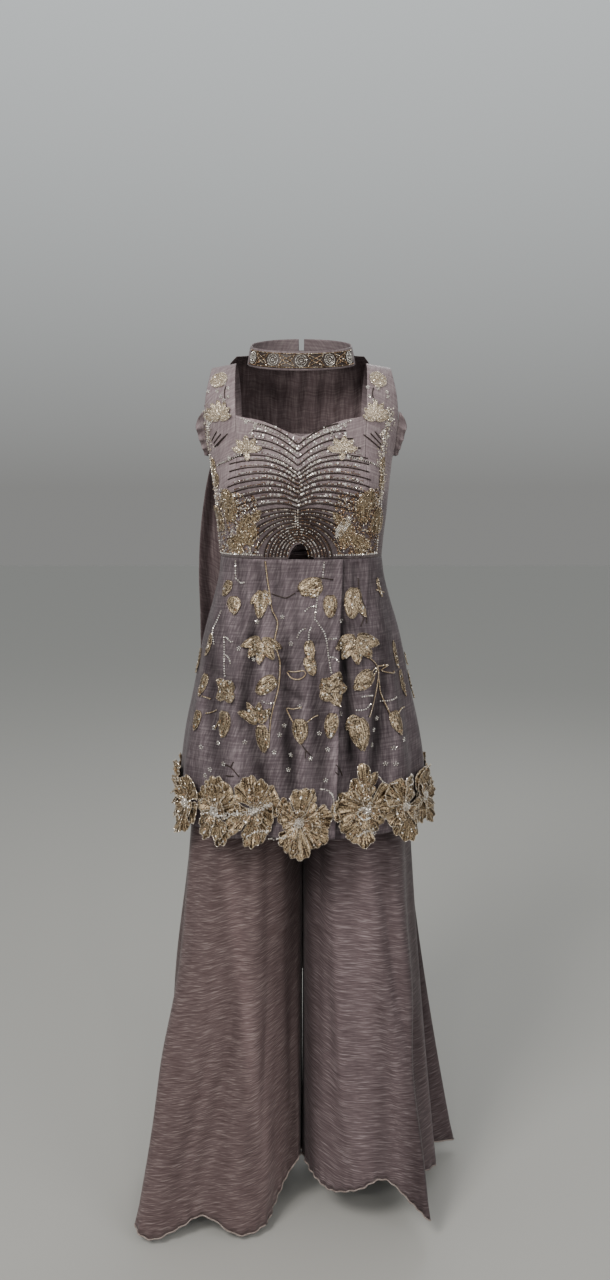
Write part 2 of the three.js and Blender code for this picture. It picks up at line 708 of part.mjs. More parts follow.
function makeScarf() {
  const surface = (u, v) => scarfPoint(1 - u, Math.max(v, 0));
  const wall = clothWall({ columns: 40, rows: 13, surface, thickness: scarfThickness });
  add("scarf", wall, cloth(colours.scarf));
}

makeBodiceFront();
makeBodiceBack();
for (const side of ["left", "right"]) {
  makeSidePanel(side, "front");
  makeSidePanel(side, "back");
  makeArmholeFrill(side);
  makeLegPanel(side, "front");
  makeLegPanel(side, "back");
}
makePeplumPanel("wrap", 30, before);
makePeplumPanel("under", 24, before);
makePeplumPanel("back", 42, behind);
hemFlowers.forEach((flower, k) => makeFlower(`hem_flower_${k + 1}`, flower));
vines.forEach((leaves, k) => makeVine(`vine_${k + 1}`, leaves));
makeWaistband("front");
makeWaistband("back");
makeChoker();
makeScarf();

export default set;
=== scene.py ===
import math

import bpy
import numpy as np
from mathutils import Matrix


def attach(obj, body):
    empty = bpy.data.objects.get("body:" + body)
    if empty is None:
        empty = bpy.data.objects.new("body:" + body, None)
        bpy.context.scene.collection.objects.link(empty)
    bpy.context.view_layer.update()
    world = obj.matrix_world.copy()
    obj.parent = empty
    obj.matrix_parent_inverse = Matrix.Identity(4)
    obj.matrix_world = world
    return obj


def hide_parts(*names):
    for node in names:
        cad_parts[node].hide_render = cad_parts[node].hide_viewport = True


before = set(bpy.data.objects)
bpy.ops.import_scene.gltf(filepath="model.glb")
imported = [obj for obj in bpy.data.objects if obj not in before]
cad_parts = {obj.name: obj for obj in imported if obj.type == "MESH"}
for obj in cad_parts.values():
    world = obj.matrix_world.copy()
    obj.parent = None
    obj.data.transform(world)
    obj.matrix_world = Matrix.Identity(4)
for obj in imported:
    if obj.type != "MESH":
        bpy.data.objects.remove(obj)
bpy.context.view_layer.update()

print("frame loaded")

# The camera stands in front of the middle of the set, a little above the waist, and looks 9 degrees down.
view = {"place": (0.006, -1.62, -0.198), "down": 9.0, "lens": 27.11, "sensor": 36.0}
cameraData = bpy.data.cameras.new("photo_camera")
cameraData.lens = view["lens"]
cameraData.sensor_width = view["sensor"]
cameraData.sensor_fit = "AUTO"
cameraData.clip_start = 0.05
camera = bpy.data.objects.new("photo_camera", cameraData)
bpy.context.collection.objects.link(camera)
camera.location = view["place"]
camera.rotation_euler = (math.radians(90 - view["down"]), 0, 0)
bpy.context.scene.camera = camera

# Heights below are in mm from the floor; x runs to the viewer's right and +y to the back.
shoulderHeight = 1450.0
waistSeam = 1140.0
keyholeMiddle = -5.0
bodyRoundness = 2.3
millimetre = 0.001
seed = np.random.default_rng(7)

torso = {
    "height": [1140, 1175, 1210, 1245, 1275, 1300, 1335, 1365, 1395, 1418, 1437, 1448, 1452],
    "halfWidth": [134, 137, 141, 144, 147, 150, 158, 164, 165, 162, 158, 155, 154],
    "front": [100, 105, 110, 112, 110, 108, 107, 103, 90, 73, 50, 26, 0.3],
    "back": [92, 94, 97, 101, 104, 106, 107, 106, 98, 84, 62, 34, 0.3],
}
panelSeams = {
    "height": [1140, 1200, 1245, 1290, 1363, 1452],
    "front": [80, 90, 97, 100, 102, 105],
    "back": [76, 84, 92, 98, 102, 105],
}
armholeEdge = {
    "height": [1300, 1312, 1335, 1365, 1395, 1418, 1437, 1452],
    "out": [150, 150.5, 153, 155, 153, 150, 147, 145],
}
shoulderFall = {"slope": 8 / 43, "from": 102, "low": 1380, "top": 1452}
cup = {"angle": math.radians(33), "spread": math.radians(19), "height": 1250, "tall": 36, "out": 12}
peplum = {
    "height": [680, 712, 780, 847, 926, 980, 1025, 1065, 1106, 1140],
    "halfWidth": [212, 211, 207, 198, 181, 171, 161, 149, 138.5, 134],
    "front": [186, 184, 178, 168, 152, 138, 125, 112, 103, 100],
    "back": [164, 162, 156, 149, 138, 128, 117, 106, 96, 92],
    "hem": 709, "wrapWaist": 66, "wrapHem": 51, "lap": math.radians(7),
}
peplumFolds = {
    "wrap": {"at": [-90, -77, -63, -50, -37, -25, -15, -3, 11], "out": [2, -5, 6, -5, 7, 2, -7, 5, 6]},
    "under": {"at": [4, 13, 24, 35, 49, 62, 76, 90], "out": [-11, -9, 5, -6, 7, -5, 6, 2]},
    "back": {
        "at": [90, 103, 117, 130, 143, 155, 168, 180, 192, 205, 218, 231, 244, 257, 270],
        "out": [2, -5, 5, -5, 5, -5, 5, -5, 5, -5, 5, -5, 5, -5, 2],
    },
}
hips = {
    "height": [0, 640, 800, 860, 930, 1000, 1060, 1098, 1140],
    "halfWidth": [180, 178, 174, 170, 162, 150, 138, 132.2, 132.2],
    "front": [118, 118, 115, 113, 110, 106, 100, 98.2, 98.2],
    "back": [124, 126, 124, 121, 116, 106, 97, 90.2, 90.2],
    "bandTop": 1136, "bandDrop": 38, "flareStart": 960, "crotch": (780, 880),
}
# Where each fold of a leg's hem lies on the floor plan and how far it is lifted, from the outseam
# round the front to the inseam, and on round the back.
legHems = {
    "left": {
        "frontRows": 11,
        "x": [-266, -260, -280, -250, -205, -165, -106, -62, -44, -24, -2,
              -1, -2, -14, -58, -98, -142, -186, -234, -246, -280],
        "y": [-34, -105, -168, -188, -176, -166, -178, -162, -124, -106, -106,
              -66, -8, 49, 98, 72, 112, 80, 100, 50, 14],
        "lift": [30, 34, 22, 12, 24, 38, 12, 18, 34, 70, 104, 86, 64, 44, 20, 30, 14, 28, 16, 30, 22],
    },
    "right": {
        "frontRows": 8,
        "x": [248, 203, 216, 186, 141, 95, 50, 18, 1, 2, 22, 60, 100, 142, 186, 232, 238, 290, 222],
        "y": [-13, -78, -174, -170, -156, -162, -140, -120, -66, -8, 45, 98, 70, 112, 78, 112, 70, 56, 18],
        "lift": [20, 36, 38, 64, 98, 84, 66, 84, 88, 64, 44, 20, 30, 14, 28, 16, 30, 18, 34],
    },
}
choker = {"halfWidth": 85, "front": 70, "back": 64, "tall": 30, "lean": 3, "middle": 1465, "dip": 18.5}
scarf = {
    "height": [300, 600, 712, 847, 926, 1025, 1100, 1180, 1250, 1300, 1350, 1395, 1430, 1452, 1464],
    "left": [196, 192, 190, 188, 186, 184, 184, 179, 168, 156, 146, 138, 128, 120, 106],
    "right": [190, 176, 170, 160, 152, 140, 132, 126, 122, 120, 118, 118, 118, 114, 103],
    "middle": [186, 185, 183, 167, 154, 134, 118, 109, 107, 108.4, 109.4, 104, 92, 84, 78],
    "edge": [160, 152, 148, 134, 126, 114, 104, 98, 90, 82, 74, 66, 52, 32, 12],
    "fold": [13, 11, 9, 7, 6, 5, 5, 5, 4.5, 4, 3.5, 3, 3, 2.5, 2],
    "folds": 8, "start": 0.09, "top": 1464, "hem": 300, "thick": 1.2,
}


# A smooth curve through a table's column: cubic Hermite pieces whose slopes join the neighbours.
def valueAt(table, at, column, key="height"):
    keys = np.asarray(table[key], float)
    values = np.asarray(table[column], float)
    at = np.asarray(at, float)
    i = np.clip(np.searchsorted(keys, at, side="right") - 1, 0, len(keys) - 2)
    before, after = np.maximum(np.arange(len(keys)) - 1, 0), np.minimum(np.arange(len(keys)) + 1, len(keys) - 1)
    slope = (values[after] - values[before]) / (keys[after] - keys[before])
    span = keys[i + 1] - keys[i]
    t = np.clip((at - keys[i]) / span, 0, 1)
    return ((2 * t**3 - 3 * t**2 + 1) * values[i] + (t**3 - 2 * t**2 + t) * span * slope[i]
            + (3 * t**2 - 2 * t**3) * values[i + 1] + (t**3 - t**2) * span * slope[i + 1])


# A closed Catmull-Rom loop through a list, read at a row number that may hold a fraction.
def loopAt(values, at):
    values = np.asarray(values, float)
    i = np.floor(at).astype(int)
    t = at - i
    a, b, c, d = (values[(i + k) % len(values)] for k in (-1, 0, 1, 2))
    return b + 0.5 * t * (c - a + t * (2 * a - 5 * b + 4 * c - d + t * (3 * (b - c) + d - a)))


# A smooth step from 0 at low to 1 at high.
def smooth(x, low, high):
    t = np.clip((np.asarray(x, float) - low) / (high - low), 0, 1)
    return t * t * (3 - 2 * t)


def mix(a, b, t):
    return a + (b - a) * t


def paired(a, b):
    return np.broadcast_arrays(np.asarray(a, float), np.asarray(b, float))


# The angle round a rounded ring at which it reaches x, from 0 in front.
def angleAt(x, halfWidth):
    return np.sign(x) * np.arcsin(np.minimum(np.abs(x) / halfWidth, 1) ** (bodyRoundness / 2))


# A rounded ring, x = w |sin|^p and y = d |cos|^p with the signs kept, moved out along its own slope.
def ringPoint(table, angle, height, out=0.0):
    width = valueAt(table, height, "halfWidth")
    depth = np.where(np.cos(angle) > 0, valueAt(table, height, "front"), valueAt(table, height, "back"))
    power = 2 / bodyRoundness
    x = width * np.sign(np.sin(angle)) * np.abs(np.sin(angle)) ** power
    y = -depth * np.sign(np.cos(angle)) * np.abs(np.cos(angle)) ** power
    away = np.stack([x / width**2, y / depth**2])
    away /= np.maximum(np.linalg.norm(away, axis=0), 1e-12)
    return np.stack([x + away[0] * out, y + away[1] * out, height + 0 * x], -1)


def shoulderDrop(x, height):
    outside = np.maximum(np.abs(x) - shoulderFall["from"], 0)
    return shoulderFall["slope"] * smooth(height, shoulderFall["low"], shoulderFall["top"]) * outside


# The top follows its ring with two soft bust cups, and its shoulders fall a little outwards.
def torsoPoint(angle, height, lift=0.0):
    turn = (np.abs(angle) - cup["angle"]) / cup["spread"]
    rise = (height - cup["height"]) / cup["tall"]
    point = ringPoint(torso, angle, height, cup["out"] * np.exp(-turn**2 - rise**2) + lift)
    point[..., 2] -= shoulderDrop(point[..., 0], height)
    return point


def onTorso(x, height, lift=0.0):
    x, height = paired(x, height)
    return torsoPoint(angleAt(x, valueAt(torso, height, "halfWidth")), height, lift)


# The wrap's free edge runs down the front, at this x or at this angle.
def wrapEdge(height):
    return mix(peplum["wrapWaist"], peplum["wrapHem"], (waistSeam - height) / (waistSeam - peplum["hem"]))


def wrapAngle(height):
    return angleAt(wrapEdge(height), valueAt(peplum, height, "halfWidth"))


# A peplum panel is its ring pushed in and out by its fold table, more and more towards the hem.
def peplumPoint(panel, share, height, lift=0.0):
    folds = peplumFolds[panel]
    first, last = folds["at"][0], folds["at"][-1]
    drop = np.clip((waistSeam - height) / (waistSeam - peplum["hem"]), 0, 1.1)
    fold = valueAt(folds, mix(first, last, share), "out", "at") * drop**1.1
    start, end = math.radians(first) + 0 * height, math.radians(last) + 0 * height
    if panel == "wrap":
        end = wrapAngle(height)
        fold = fold + 2.1 * smooth(share, 0.74, 0.9)
    if panel == "under":
        start = wrapAngle(height) - peplum["lap"]
    return ringPoint(peplum, mix(start, end, share), height, fold + lift)


def peplumFront(x, height, lift=0.0):
    x, height = paired(x, height)
    turn = angleAt(x, valueAt(peplum, height, "halfWidth"))
    edge = wrapAngle(height)
    low = edge - peplum["lap"]
    onWrap = peplumPoint("wrap", (turn + math.pi / 2) / (edge + math.pi / 2), height, lift)
    onUnder = peplumPoint("under", (turn - low) / (math.pi / 2 - low), height, lift)
    return np.where((turn < edge)[..., None], onWrap, onUnder)


def peplumRound(degrees, height, lift=0.0):
    degrees, height = paired(degrees, height)
    turned = np.where(degrees < -90, degrees + 360, degrees)
    result = np.zeros(degrees.shape + (3,))
    for panel, low, high in (("wrap", -90.01, 12), ("under", 12, 90), ("back", 90, 270.01)):
        at = peplumFolds[panel]["at"]
        here = (turned > low) & (turned <= high)
        point = peplumPoint(panel, (turned - at[0]) / (at[-1] - at[0]), height, lift)
        result = np.where(here[..., None], point, result)
    return result


# A leg panel runs round an ellipse that opens from a quarter above the crotch to a half below it,
# and blends into the fold loop of its hem.
def legPoint(side, face, share, fall):
    hem = legHems[side]
    count, front = len(hem["x"]), hem["frontRows"]
    along = share * front if face == "front" else count - share * (count - front)
    hemX, hemY, lift = (loopAt(hem[c], along) for c in ("x", "y", "lift"))
    height = mix(hips["bandTop"] - hips["bandDrop"] - 0.3, lift, fall)
    legPart = 1 - smooth(height, *hips["crotch"])
    width, depth = valueAt(hips, height, "halfWidth"), valueAt(hips, height, face)
    radius = width / (1 + np.sin(legPart * math.pi / 2))
    turn = share * math.pi / 2 * (1 + legPart)
    sign = -1 if side == "left" else 1
    x = sign * (radius * np.cos(turn) + width - radius)
    y = (-1 if face == "front" else 1) * depth * np.sin(turn)
    flare = np.maximum((hips["flareStart"] - height) / (hips["flareStart"] - lift), 0) ** 1.5
    x = mix(x, hemX, flare)
    return np.stack([sign * np.maximum(sign * x, 0.15), mix(y, hemY, flare), height], -1)


# The choker is a leaning ellipse, lower at the front: z falls with the cosine of the angle.
def chokerPoint(angle, across, out=0.0):
    lean = choker["lean"] * across
    depth = np.where(np.cos(angle) > 0, choker["front"], choker["back"])
    x = (choker["halfWidth"] + lean + out) * np.sin(angle)
    y = -(depth + lean + out) * np.cos(angle)
    z = choker["middle"] - choker["dip"] * np.cos(angle) - across * choker["tall"] / 2
    return np.stack([x, y, z + 0 * x], -1)


# How far back the dressed body reaches at x, with the shoulders' fall taken into account.
def backAt(x, height):
    level = np.minimum(height + shoulderDrop(x, height), shoulderFall["top"])
    result = np.zeros(x.shape)
    for table, here in ((torso, height > waistSeam), (peplum, height <= waistSeam)):
        share = np.minimum(np.abs(x) / valueAt(table, level, "halfWidth"), 1)
        depth = valueAt(table, level, "back") * (1 - share**bodyRoundness) ** (1 / bodyRoundness)
        result = np.where(here, depth, result)
    return result


# The scarf leaves the choker and hangs behind the back as the larger of a hanging line and the body,
# with cosine folds across it.
def scarfPoint(share, fall):
    drop = np.maximum((fall - scarf["start"]) / (1 - scarf["start"]), 0)
    height = mix(scarf["top"], scarf["hem"], drop**1.5)
    left, right, middle, edge, fold = (valueAt(scarf, height, c) for c in ("left", "right", "middle", "edge",
                                                                           "fold"))
    x = mix(-left, right, share)
    side = np.where(x < 0, x / left, x / right)
    hang = mix(middle, edge, side**2)
    slack = mix(12, 2, smooth(height, 800, waistSeam)) + 9 * smooth(height, 1355, 1420)
    body = backAt(x, height) + scarf["thick"] + slack
    clear = (hang + body + np.hypot(hang - body, 3)) / 2
    wave = fold * (1 - np.cos(share * 2 * math.pi * scarf["folds"]))
    hanging = np.stack([x, clear + wave, height], -1)
    collar = chokerPoint(np.radians(-96 - 168 * share), 0.2, scarf["thick"] + 0.3)
    return mix(collar, hanging, smooth(fall, 0, scarf["start"])[..., None])


# Soft troughs and ridges laid on a panel: each row is a bell across its width that fades
# along its length. across and down are in mm; lean turns the crease in degrees from upright.
def creases(rows, across, down):
    total = np.zeros(np.broadcast(across, down).shape)
    for x0, z0, lean, length, wide, deep in rows:
        c, s = math.cos(math.radians(lean)), math.sin(math.radians(lean))
        dx, dz = across - x0, down - z0
        over, along = c * dx + s * dz, -s * dx + c * dz
        total += deep * np.exp(-(over / wide) ** 2 - (along / (length / 2)) ** 4)
    return total


# Moves a grid of points along its own normal, the cross product of its two directions of growth.
def raised(points, amount):
    across = np.gradient(points, axis=1)
    down = np.gradient(points, axis=0)
    return points + unit(np.cross(down, across)) * np.asarray(amount)[..., None]


def toMetres(points):
    points = np.array(points, float)
    points[..., 2] -= shoulderHeight
    return points / 1000


def lengthsOf(path):
    return np.concatenate([[0], np.cumsum(np.linalg.norm(np.diff(path, axis=0), axis=1))])


def unit(vectors):
    return vectors / np.maximum(np.linalg.norm(vectors, axis=-1, keepdims=True), 1e-9)


def newObject(name, vertices, faces, material, smoothShaded=True):
    mesh = bpy.data.meshes.new(name)
    mesh.from_pydata(vertices.reshape(-1, 3), [], faces)
    mesh.polygons.foreach_set("use_smooth", np.full(len(mesh.polygons), smoothShaded))
    mesh.materials.append(material)
    mesh.update()
    piece = bpy.data.objects.new(name, mesh)
    bpy.context.collection.objects.link(piece)
    return piece


def layMap(piece, name, across, down, faces):
    corners = faces.reshape(-1)
    pairs = np.stack([across.reshape(-1)[corners], down.reshape(-1)[corners]], -1)
    piece.data.uv_layers.new(name=name).data.foreach_set("uv", pairs.reshape(-1))


def thicken(piece, thick, offset):
    wall = piece.modifiers.new("cloth_thickness", "SOLIDIFY")
    wall.thickness = thick * millimetre
    wall.offset = offset


# A sheet of cloth from a grid of points in mm, rows running down and columns to the right as seen
# from outside. Its UV map holds the lengths along the cloth in metres.
def clothSheet(name, points, material, thick=0.8):
    rows, columns = points.shape[:2]
    placed = toMetres(points)
    index = np.arange(rows * columns).reshape(rows, columns)
    faces = np.stack([index[:-1, :-1], index[1:, :-1], index[1:, 1:], index[:-1, 1:]], -1).reshape(-1, 4)
    piece = newObject(name, placed, faces, material)
    across = np.zeros((rows, columns))
    across[:, 1:] = np.cumsum(np.linalg.norm(np.diff(placed, axis=1), axis=-1), axis=1)
    across -= across[:, columns // 2][:, None]
    down = np.zeros((rows, columns))
    down[1:] = np.cumsum(np.linalg.norm(np.diff(placed, axis=0), axis=-1), axis=0)
    layMap(piece, "cloth_lengths", across, -down, faces)
    thicken(piece, thick, -1)
    return piece


# Many copies of one small shape: each gets a place, three axes and a size, all as whole arrays.
def scatter(name, shape, faces, places, axes, sizes, material, shades):
    count = len(places)
    points = np.einsum("pk,nkc->npc", shape, axes) * sizes[:, None, None] + places[:, None, :]
    every = (np.arange(count)[:, None, None] * len(shape) + faces[None]).reshape(-1, faces.shape[1])
    piece = newObject(name, toMetres(points), every, material, smoothShaded=False)
    layer = piece.data.attributes.new("shade", "FLOAT", "POINT")
    layer.data.foreach_set("value", np.repeat(shades, len(shape)).astype(np.float32))
    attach(piece, "root")


# A round cord carried along each path: a small ring of points in the plane across each step, and a
# fan of triangles on a point at each end.
def tubes(name, paths, radii, material, sides=5):
    vertices, quads, tips, start = [], [], [], 0
    turn = (np.arange(sides) * 2 * math.pi / sides)[None, :, None]
    for path, radius in zip(paths, np.broadcast_to(radii, len(paths))):
        along = unit(np.gradient(path, axis=0))
        helper = np.where(np.abs(along[:, 1:2]) < 0.9, [[0.0, 1.0, 0.0]], [[1.0, 0.0, 0.0]])
        one = unit(np.cross(along, helper))
        two = np.cross(along, one)
        ring = path[:, None] + radius * (np.cos(turn) * one[:, None] + np.sin(turn) * two[:, None])
        index = start + np.arange(len(path) * sides).reshape(len(path), sides)
        turned = np.roll(index, -1, axis=1)
        quads.append(np.stack([index[:-1], turned[:-1], turned[1:], index[1:]], -1).reshape(-1, 4))
        first = np.full(sides, start + len(path) * sides)
        tips += [np.stack([turned[0], index[0], first], -1), np.stack([index[-1], turned[-1], first + 1], -1)]
        vertices += [ring.reshape(-1, 3), path[[0, -1]]]
        start += len(path) * sides + 2
    faces = np.concatenate(quads).tolist() + np.concatenate(tips).tolist()
    piece = newObject(name, toMetres(np.concatenate(vertices)), faces, material)
    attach(piece, "root")


def linear(red, green, blue):
    share = np.array([red, green, blue]) / 255
    return tuple(np.where(share <= 0.04045, share / 12.92, ((share + 0.055) / 1.055) ** 2.4)) + (1.0,)


def addNode(tree, kind, place, **values):
    node = tree.nodes.new(kind)
    node.location = place
    for key, value in values.items():
        if hasattr(node, key):
            setattr(node, key, value)
        else:
            node.inputs[key.replace("_", " ").title()].default_value = value
    return node


def rampOf(tree, place, stops):
    ramp = tree.nodes.new("ShaderNodeValToRGB")
    ramp.location = place
    points = ramp.color_ramp.elements
    while len(points) < len(stops):
        points.new(0.5)
    for point, (at, colour) in zip(points, stops):
        point.position = at
        point.color = colour
    return ramp


def newMaterial(name):
    material = bpy.data.materials.new(name)
    material.use_nodes = True
    tree = material.node_tree
    return material, tree, tree.links.new, tree.nodes["Principled BSDF"]


# Crushed tissue silk. Long thin noise streaks lie along the crinkles at the angle lean and mix three
# tones with slubs of the weave, their lighter tone partly a painted highlight on the crinkle ridges; a
# broader noise shades them in bands, and the painted attribute lifts or darkens the cloth: painted light
# and shade on the folds, and a darker ground on the bead rows and the choker band.
# Bump: crinkles, then the weave.
def crushedSilk(name, cloth):
    material, tree, link, shader = newMaterial(name)
    lengths = addNode(tree, "ShaderNodeUVMap", (-1500, 0), uv_map="cloth_lengths")
    turned = addNode(tree, "ShaderNodeMapping", (-1300, 100), vector_type="TEXTURE")
    turned.inputs["Rotation"].default_value = (0, 0, math.radians(cloth["lean"]))
    turned.inputs["Scale"].default_value = (1 / cloth["streak"][0], 1 / cloth["streak"][1], 1)
    link(lengths.outputs["UV"], turned.inputs["Vector"])
    streak = addNode(tree, "ShaderNodeTexNoise", (-1080, 200), scale=1.0, detail=3.0,
                     roughness=0.6, distortion=0.3)
    link(turned.outputs["Vector"], streak.inputs["Vector"])
    across = addNode(tree, "ShaderNodeMapping", (-1300, -100), vector_type="TEXTURE")
    across.inputs["Rotation"].default_value = (0, 0, math.radians(cloth["broadLean"]))
    across.inputs["Scale"].default_value = (1 / cloth["broad"][0], 1 / cloth["broad"][1], 1)
    link(lengths.outputs["UV"], across.inputs["Vector"])
    broad = addNode(tree, "ShaderNodeTexNoise", (-1080, -100), scale=1.0, detail=3.0, roughness=0.55,
                    distortion=0.4)
    link(across.outputs["Vector"], broad.inputs["Vector"])
    level = addNode(tree, "ShaderNodeMapping", (-1300, 400), vector_type="TEXTURE")
    level.inputs["Rotation"].default_value = (0, 0, math.radians(cloth["slubLean"]))
    level.inputs["Scale"].default_value = (1 / 20, 1 / 360, 1)
    link(lengths.outputs["UV"], level.inputs["Vector"])
    slub = addNode(tree, "ShaderNodeTexNoise", (-1080, 450), scale=1.0, detail=2.0, roughness=0.5)
    link(level.outputs["Vector"], slub.inputs["Vector"])
    blended = addNode(tree, "ShaderNodeMix", (-940, 320), data_type="FLOAT")
    blended.inputs["Factor"].default_value = cloth["slub"]
    link(streak.outputs["Fac"], blended.inputs[2])
    link(slub.outputs["Fac"], blended.inputs[3])
    tones = rampOf(tree, (-820, 200), list(zip(cloth["stops"], [linear(*c) for c in cloth["tones"]])))
    link(blended.outputs[0], tones.inputs["Fac"])
    painted = addNode(tree, "ShaderNodeAttribute", (-1080, -380), attribute_name="paint")
    shade = addNode(tree, "ShaderNodeMath", (-820, -120), operation="MULTIPLY_ADD")
    shade.inputs[1].default_value = cloth["broadAmount"]
    shade.inputs[2].default_value = 1 - cloth["broadAmount"] / 2
    link(broad.outputs["Fac"], shade.inputs[0])
    lifted = addNode(tree, "ShaderNodeMath", (-640, -200), operation="ADD")
    link(shade.outputs[0], lifted.inputs[0])
    link(painted.outputs["Fac"], lifted.inputs[1])
    tinted = addNode(tree, "ShaderNodeMix", (-420, 150), data_type="RGBA", blend_type="MULTIPLY")
    tinted.inputs["Factor"].default_value = 1
    link(tones.outputs["Color"], tinted.inputs[6])
    link(lifted.outputs[0], tinted.inputs[7])
    link(tinted.outputs[2], shader.inputs["Base Color"])
    crinkle = addNode(tree, "ShaderNodeBump", (-420, -250), strength=cloth["bump"], distance=0.001)
    link(blended.outputs[0], crinkle.inputs["Height"])
    threads = []
    for k, direction in enumerate(("X", "Y")):
        wave = addNode(tree, "ShaderNodeTexWave", (-820, -420 - 260 * k), scale=380.0, distortion=0.4)
        wave.bands_direction = direction
        link(lengths.outputs["UV"], wave.inputs["Vector"])
        threads.append(wave)
    weave = addNode(tree, "ShaderNodeMath", (-620, -500), operation="MAXIMUM")
    link(threads[0].outputs["Fac"], weave.inputs[0])
    link(threads[1].outputs["Fac"], weave.inputs[1])
    woven = addNode(tree, "ShaderNodeBump", (-220, -300), strength=0.25, distance=0.0001)
    link(weave.outputs[0], woven.inputs["Height"])
    link(crinkle.outputs["Normal"], woven.inputs["Normal"])
    link(woven.outputs["Normal"], shader.inputs["Normal"])
    gloss = addNode(tree, "ShaderNodeMapRange", (-420, -20))
    gloss.inputs["To Min"].default_value = cloth["rough"] + 0.1
    gloss.inputs["To Max"].default_value = cloth["rough"] - 0.1
    link(streak.outputs["Fac"], gloss.inputs["Value"])
    link(gloss.outputs["Result"], shader.inputs["Roughness"])
    shader.inputs["Specular IOR Level"].default_value = 0.06
    shader.inputs["Sheen Weight"].default_value = cloth["sheen"]
    shader.inputs["Sheen Roughness"].default_value = 0.4
    shader.inputs["Metallic"].default_value = cloth["metallic"]
    return material


# Metallic thread, bead or sequin: noise in object space shades it, and each bead's own shade
# attribute moves it between two tones.
def metalWork(name, dark, light, rough, metallic=0.85, scale=260.0, bump=0.15):
    material, tree, link, shader = newMaterial(name)
    place = addNode(tree, "ShaderNodeTexCoord", (-1000, 0))
    grain = addNode(tree, "ShaderNodeTexNoise", (-800, 0), scale=scale, detail=4.0, roughness=0.6)
    link(place.outputs["Object"], grain.inputs["Vector"])
    own = addNode(tree, "ShaderNodeAttribute", (-800, -300), attribute_name="shade")
    both = addNode(tree, "ShaderNodeMath", (-600, -100), operation="ADD")
    link(grain.outputs["Fac"], both.inputs[0])
    link(own.outputs["Fac"], both.inputs[1])
    tones = rampOf(tree, (-420, 60), [(0.25, linear(*dark)), (0.8, linear(*light))])
    link(both.outputs[0], tones.inputs["Fac"])
    link(tones.outputs["Color"], shader.inputs["Base Color"])
    dent = addNode(tree, "ShaderNodeBump", (-250, -250), strength=bump, distance=0.0004)
    link(grain.outputs["Fac"], dent.inputs["Height"])
    link(dent.outputs["Normal"], shader.inputs["Normal"])
    shader.inputs["Roughness"].default_value = rough
    shader.inputs["Metallic"].default_value = metallic
    return material


# Gathered gold tissue: thin noise streaks run from the petal's root to its edge in its own UV map, and
# a finer noise in object space breaks them up like close beadwork.
def petalTissue(name, tones):
    material, tree, link, shader = newMaterial(name)
    own = addNode(tree, "ShaderNodeUVMap", (-1400, 100), uv_map="petal_lengths")
    drawn = addNode(tree, "ShaderNodeMapping", (-1200, 100))
    drawn.inputs["Scale"].default_value = (11, 1.6, 1)
    link(own.outputs["UV"], drawn.inputs["Vector"])
    pleats = addNode(tree, "ShaderNodeTexNoise", (-1000, 100), scale=1.0, detail=4.0, roughness=0.6, distortion=0.3)
    link(drawn.outputs["Vector"], pleats.inputs["Vector"])
    place = addNode(tree, "ShaderNodeTexCoord", (-1200, -250))
    grain = addNode(tree, "ShaderNodeTexVoronoi", (-1000, -250), scale=430.0)
    link(place.outputs["Object"], grain.inputs["Vector"])
    both = addNode(tree, "ShaderNodeMath", (-780, -60), operation="MULTIPLY_ADD")
    both.inputs[1].default_value = 0.3
    link(grain.outputs["Distance"], both.inputs[0])
    link(pleats.outputs["Fac"], both.inputs[2])
    ramp = rampOf(tree, (-560, 100), list(zip((0.46, 0.6, 0.74), [linear(*tone) for tone in tones])))
    link(both.outputs[0], ramp.inputs["Fac"])
    link(ramp.outputs["Color"], shader.inputs["Base Color"])
    dent = addNode(tree, "ShaderNodeBump", (-300, -200), strength=0.5, distance=0.0009)
    link(both.outputs[0], dent.inputs["Height"])
    link(dent.outputs["Normal"], shader.inputs["Normal"])
    shader.inputs["Roughness"].default_value = 0.28
    shader.inputs["Metallic"].default_value = 0.6
    return material


# streak and broad are noise cells to a metre along and across the lean; lengths of cloth set the scale.
topSilk = crushedSilk("top_silk", {
    "lean": 84, "streak": (44, 300), "broadLean": 86, "broad": (10, 42), "broadAmount": 0.8,
    "slubLean": 2, "slub": 0.38, "rough": 0.42, "stops": (0.34, 0.5, 0.7),
    "tones": ((74, 64, 68), (94, 84, 88), (128, 118, 120)),
    "bump": 0.5, "sheen": 0.08, "metallic": 0.2,
})
# The bodice's silk is the top's silk in lighter tones: painted light for the light falling on the bodice. Its
# frills, choker band and lower sides are painted darker.
litBodiceSilk = crushedSilk("bodice_silk_lit", {
    "lean": 82, "streak": (40, 260), "broadLean": 80, "broad": (14, 30), "broadAmount": 0.4,
    "slubLean": 4, "slub": 0.5, "rough": 0.48, "stops": (0.34, 0.5, 0.7),
    "tones": ((118, 104, 107), (138, 124, 127), (166, 154, 153)),
    "bump": 0.25, "sheen": 0.12, "metallic": 0.1,
})
trouserLeft = crushedSilk("trouser_silk_left", {
    "lean": 14, "streak": (32, 480), "broadLean": 84, "broad": (3, 17), "broadAmount": 0.42,
    "slubLean": -2, "slub": 0.3, "rough": 0.44, "stops": (0.38, 0.53, 0.7),
    "tones": ((86, 71, 71), (107, 91, 91), (150, 136, 133)),
    "bump": 0.7, "sheen": 0.06, "metallic": 0.12,
})
trouserRight = crushedSilk("trouser_silk_right", {
    "lean": -5, "streak": (32, 480), "broadLean": 93, "broad": (3, 17), "broadAmount": 0.42,
    "slubLean": 3, "slub": 0.3, "rough": 0.44, "stops": (0.38, 0.53, 0.7),
    "tones": ((84, 71, 73), (106, 92, 94), (152, 139, 140)),
    "bump": 0.7, "sheen": 0.06, "metallic": 0.12,
})
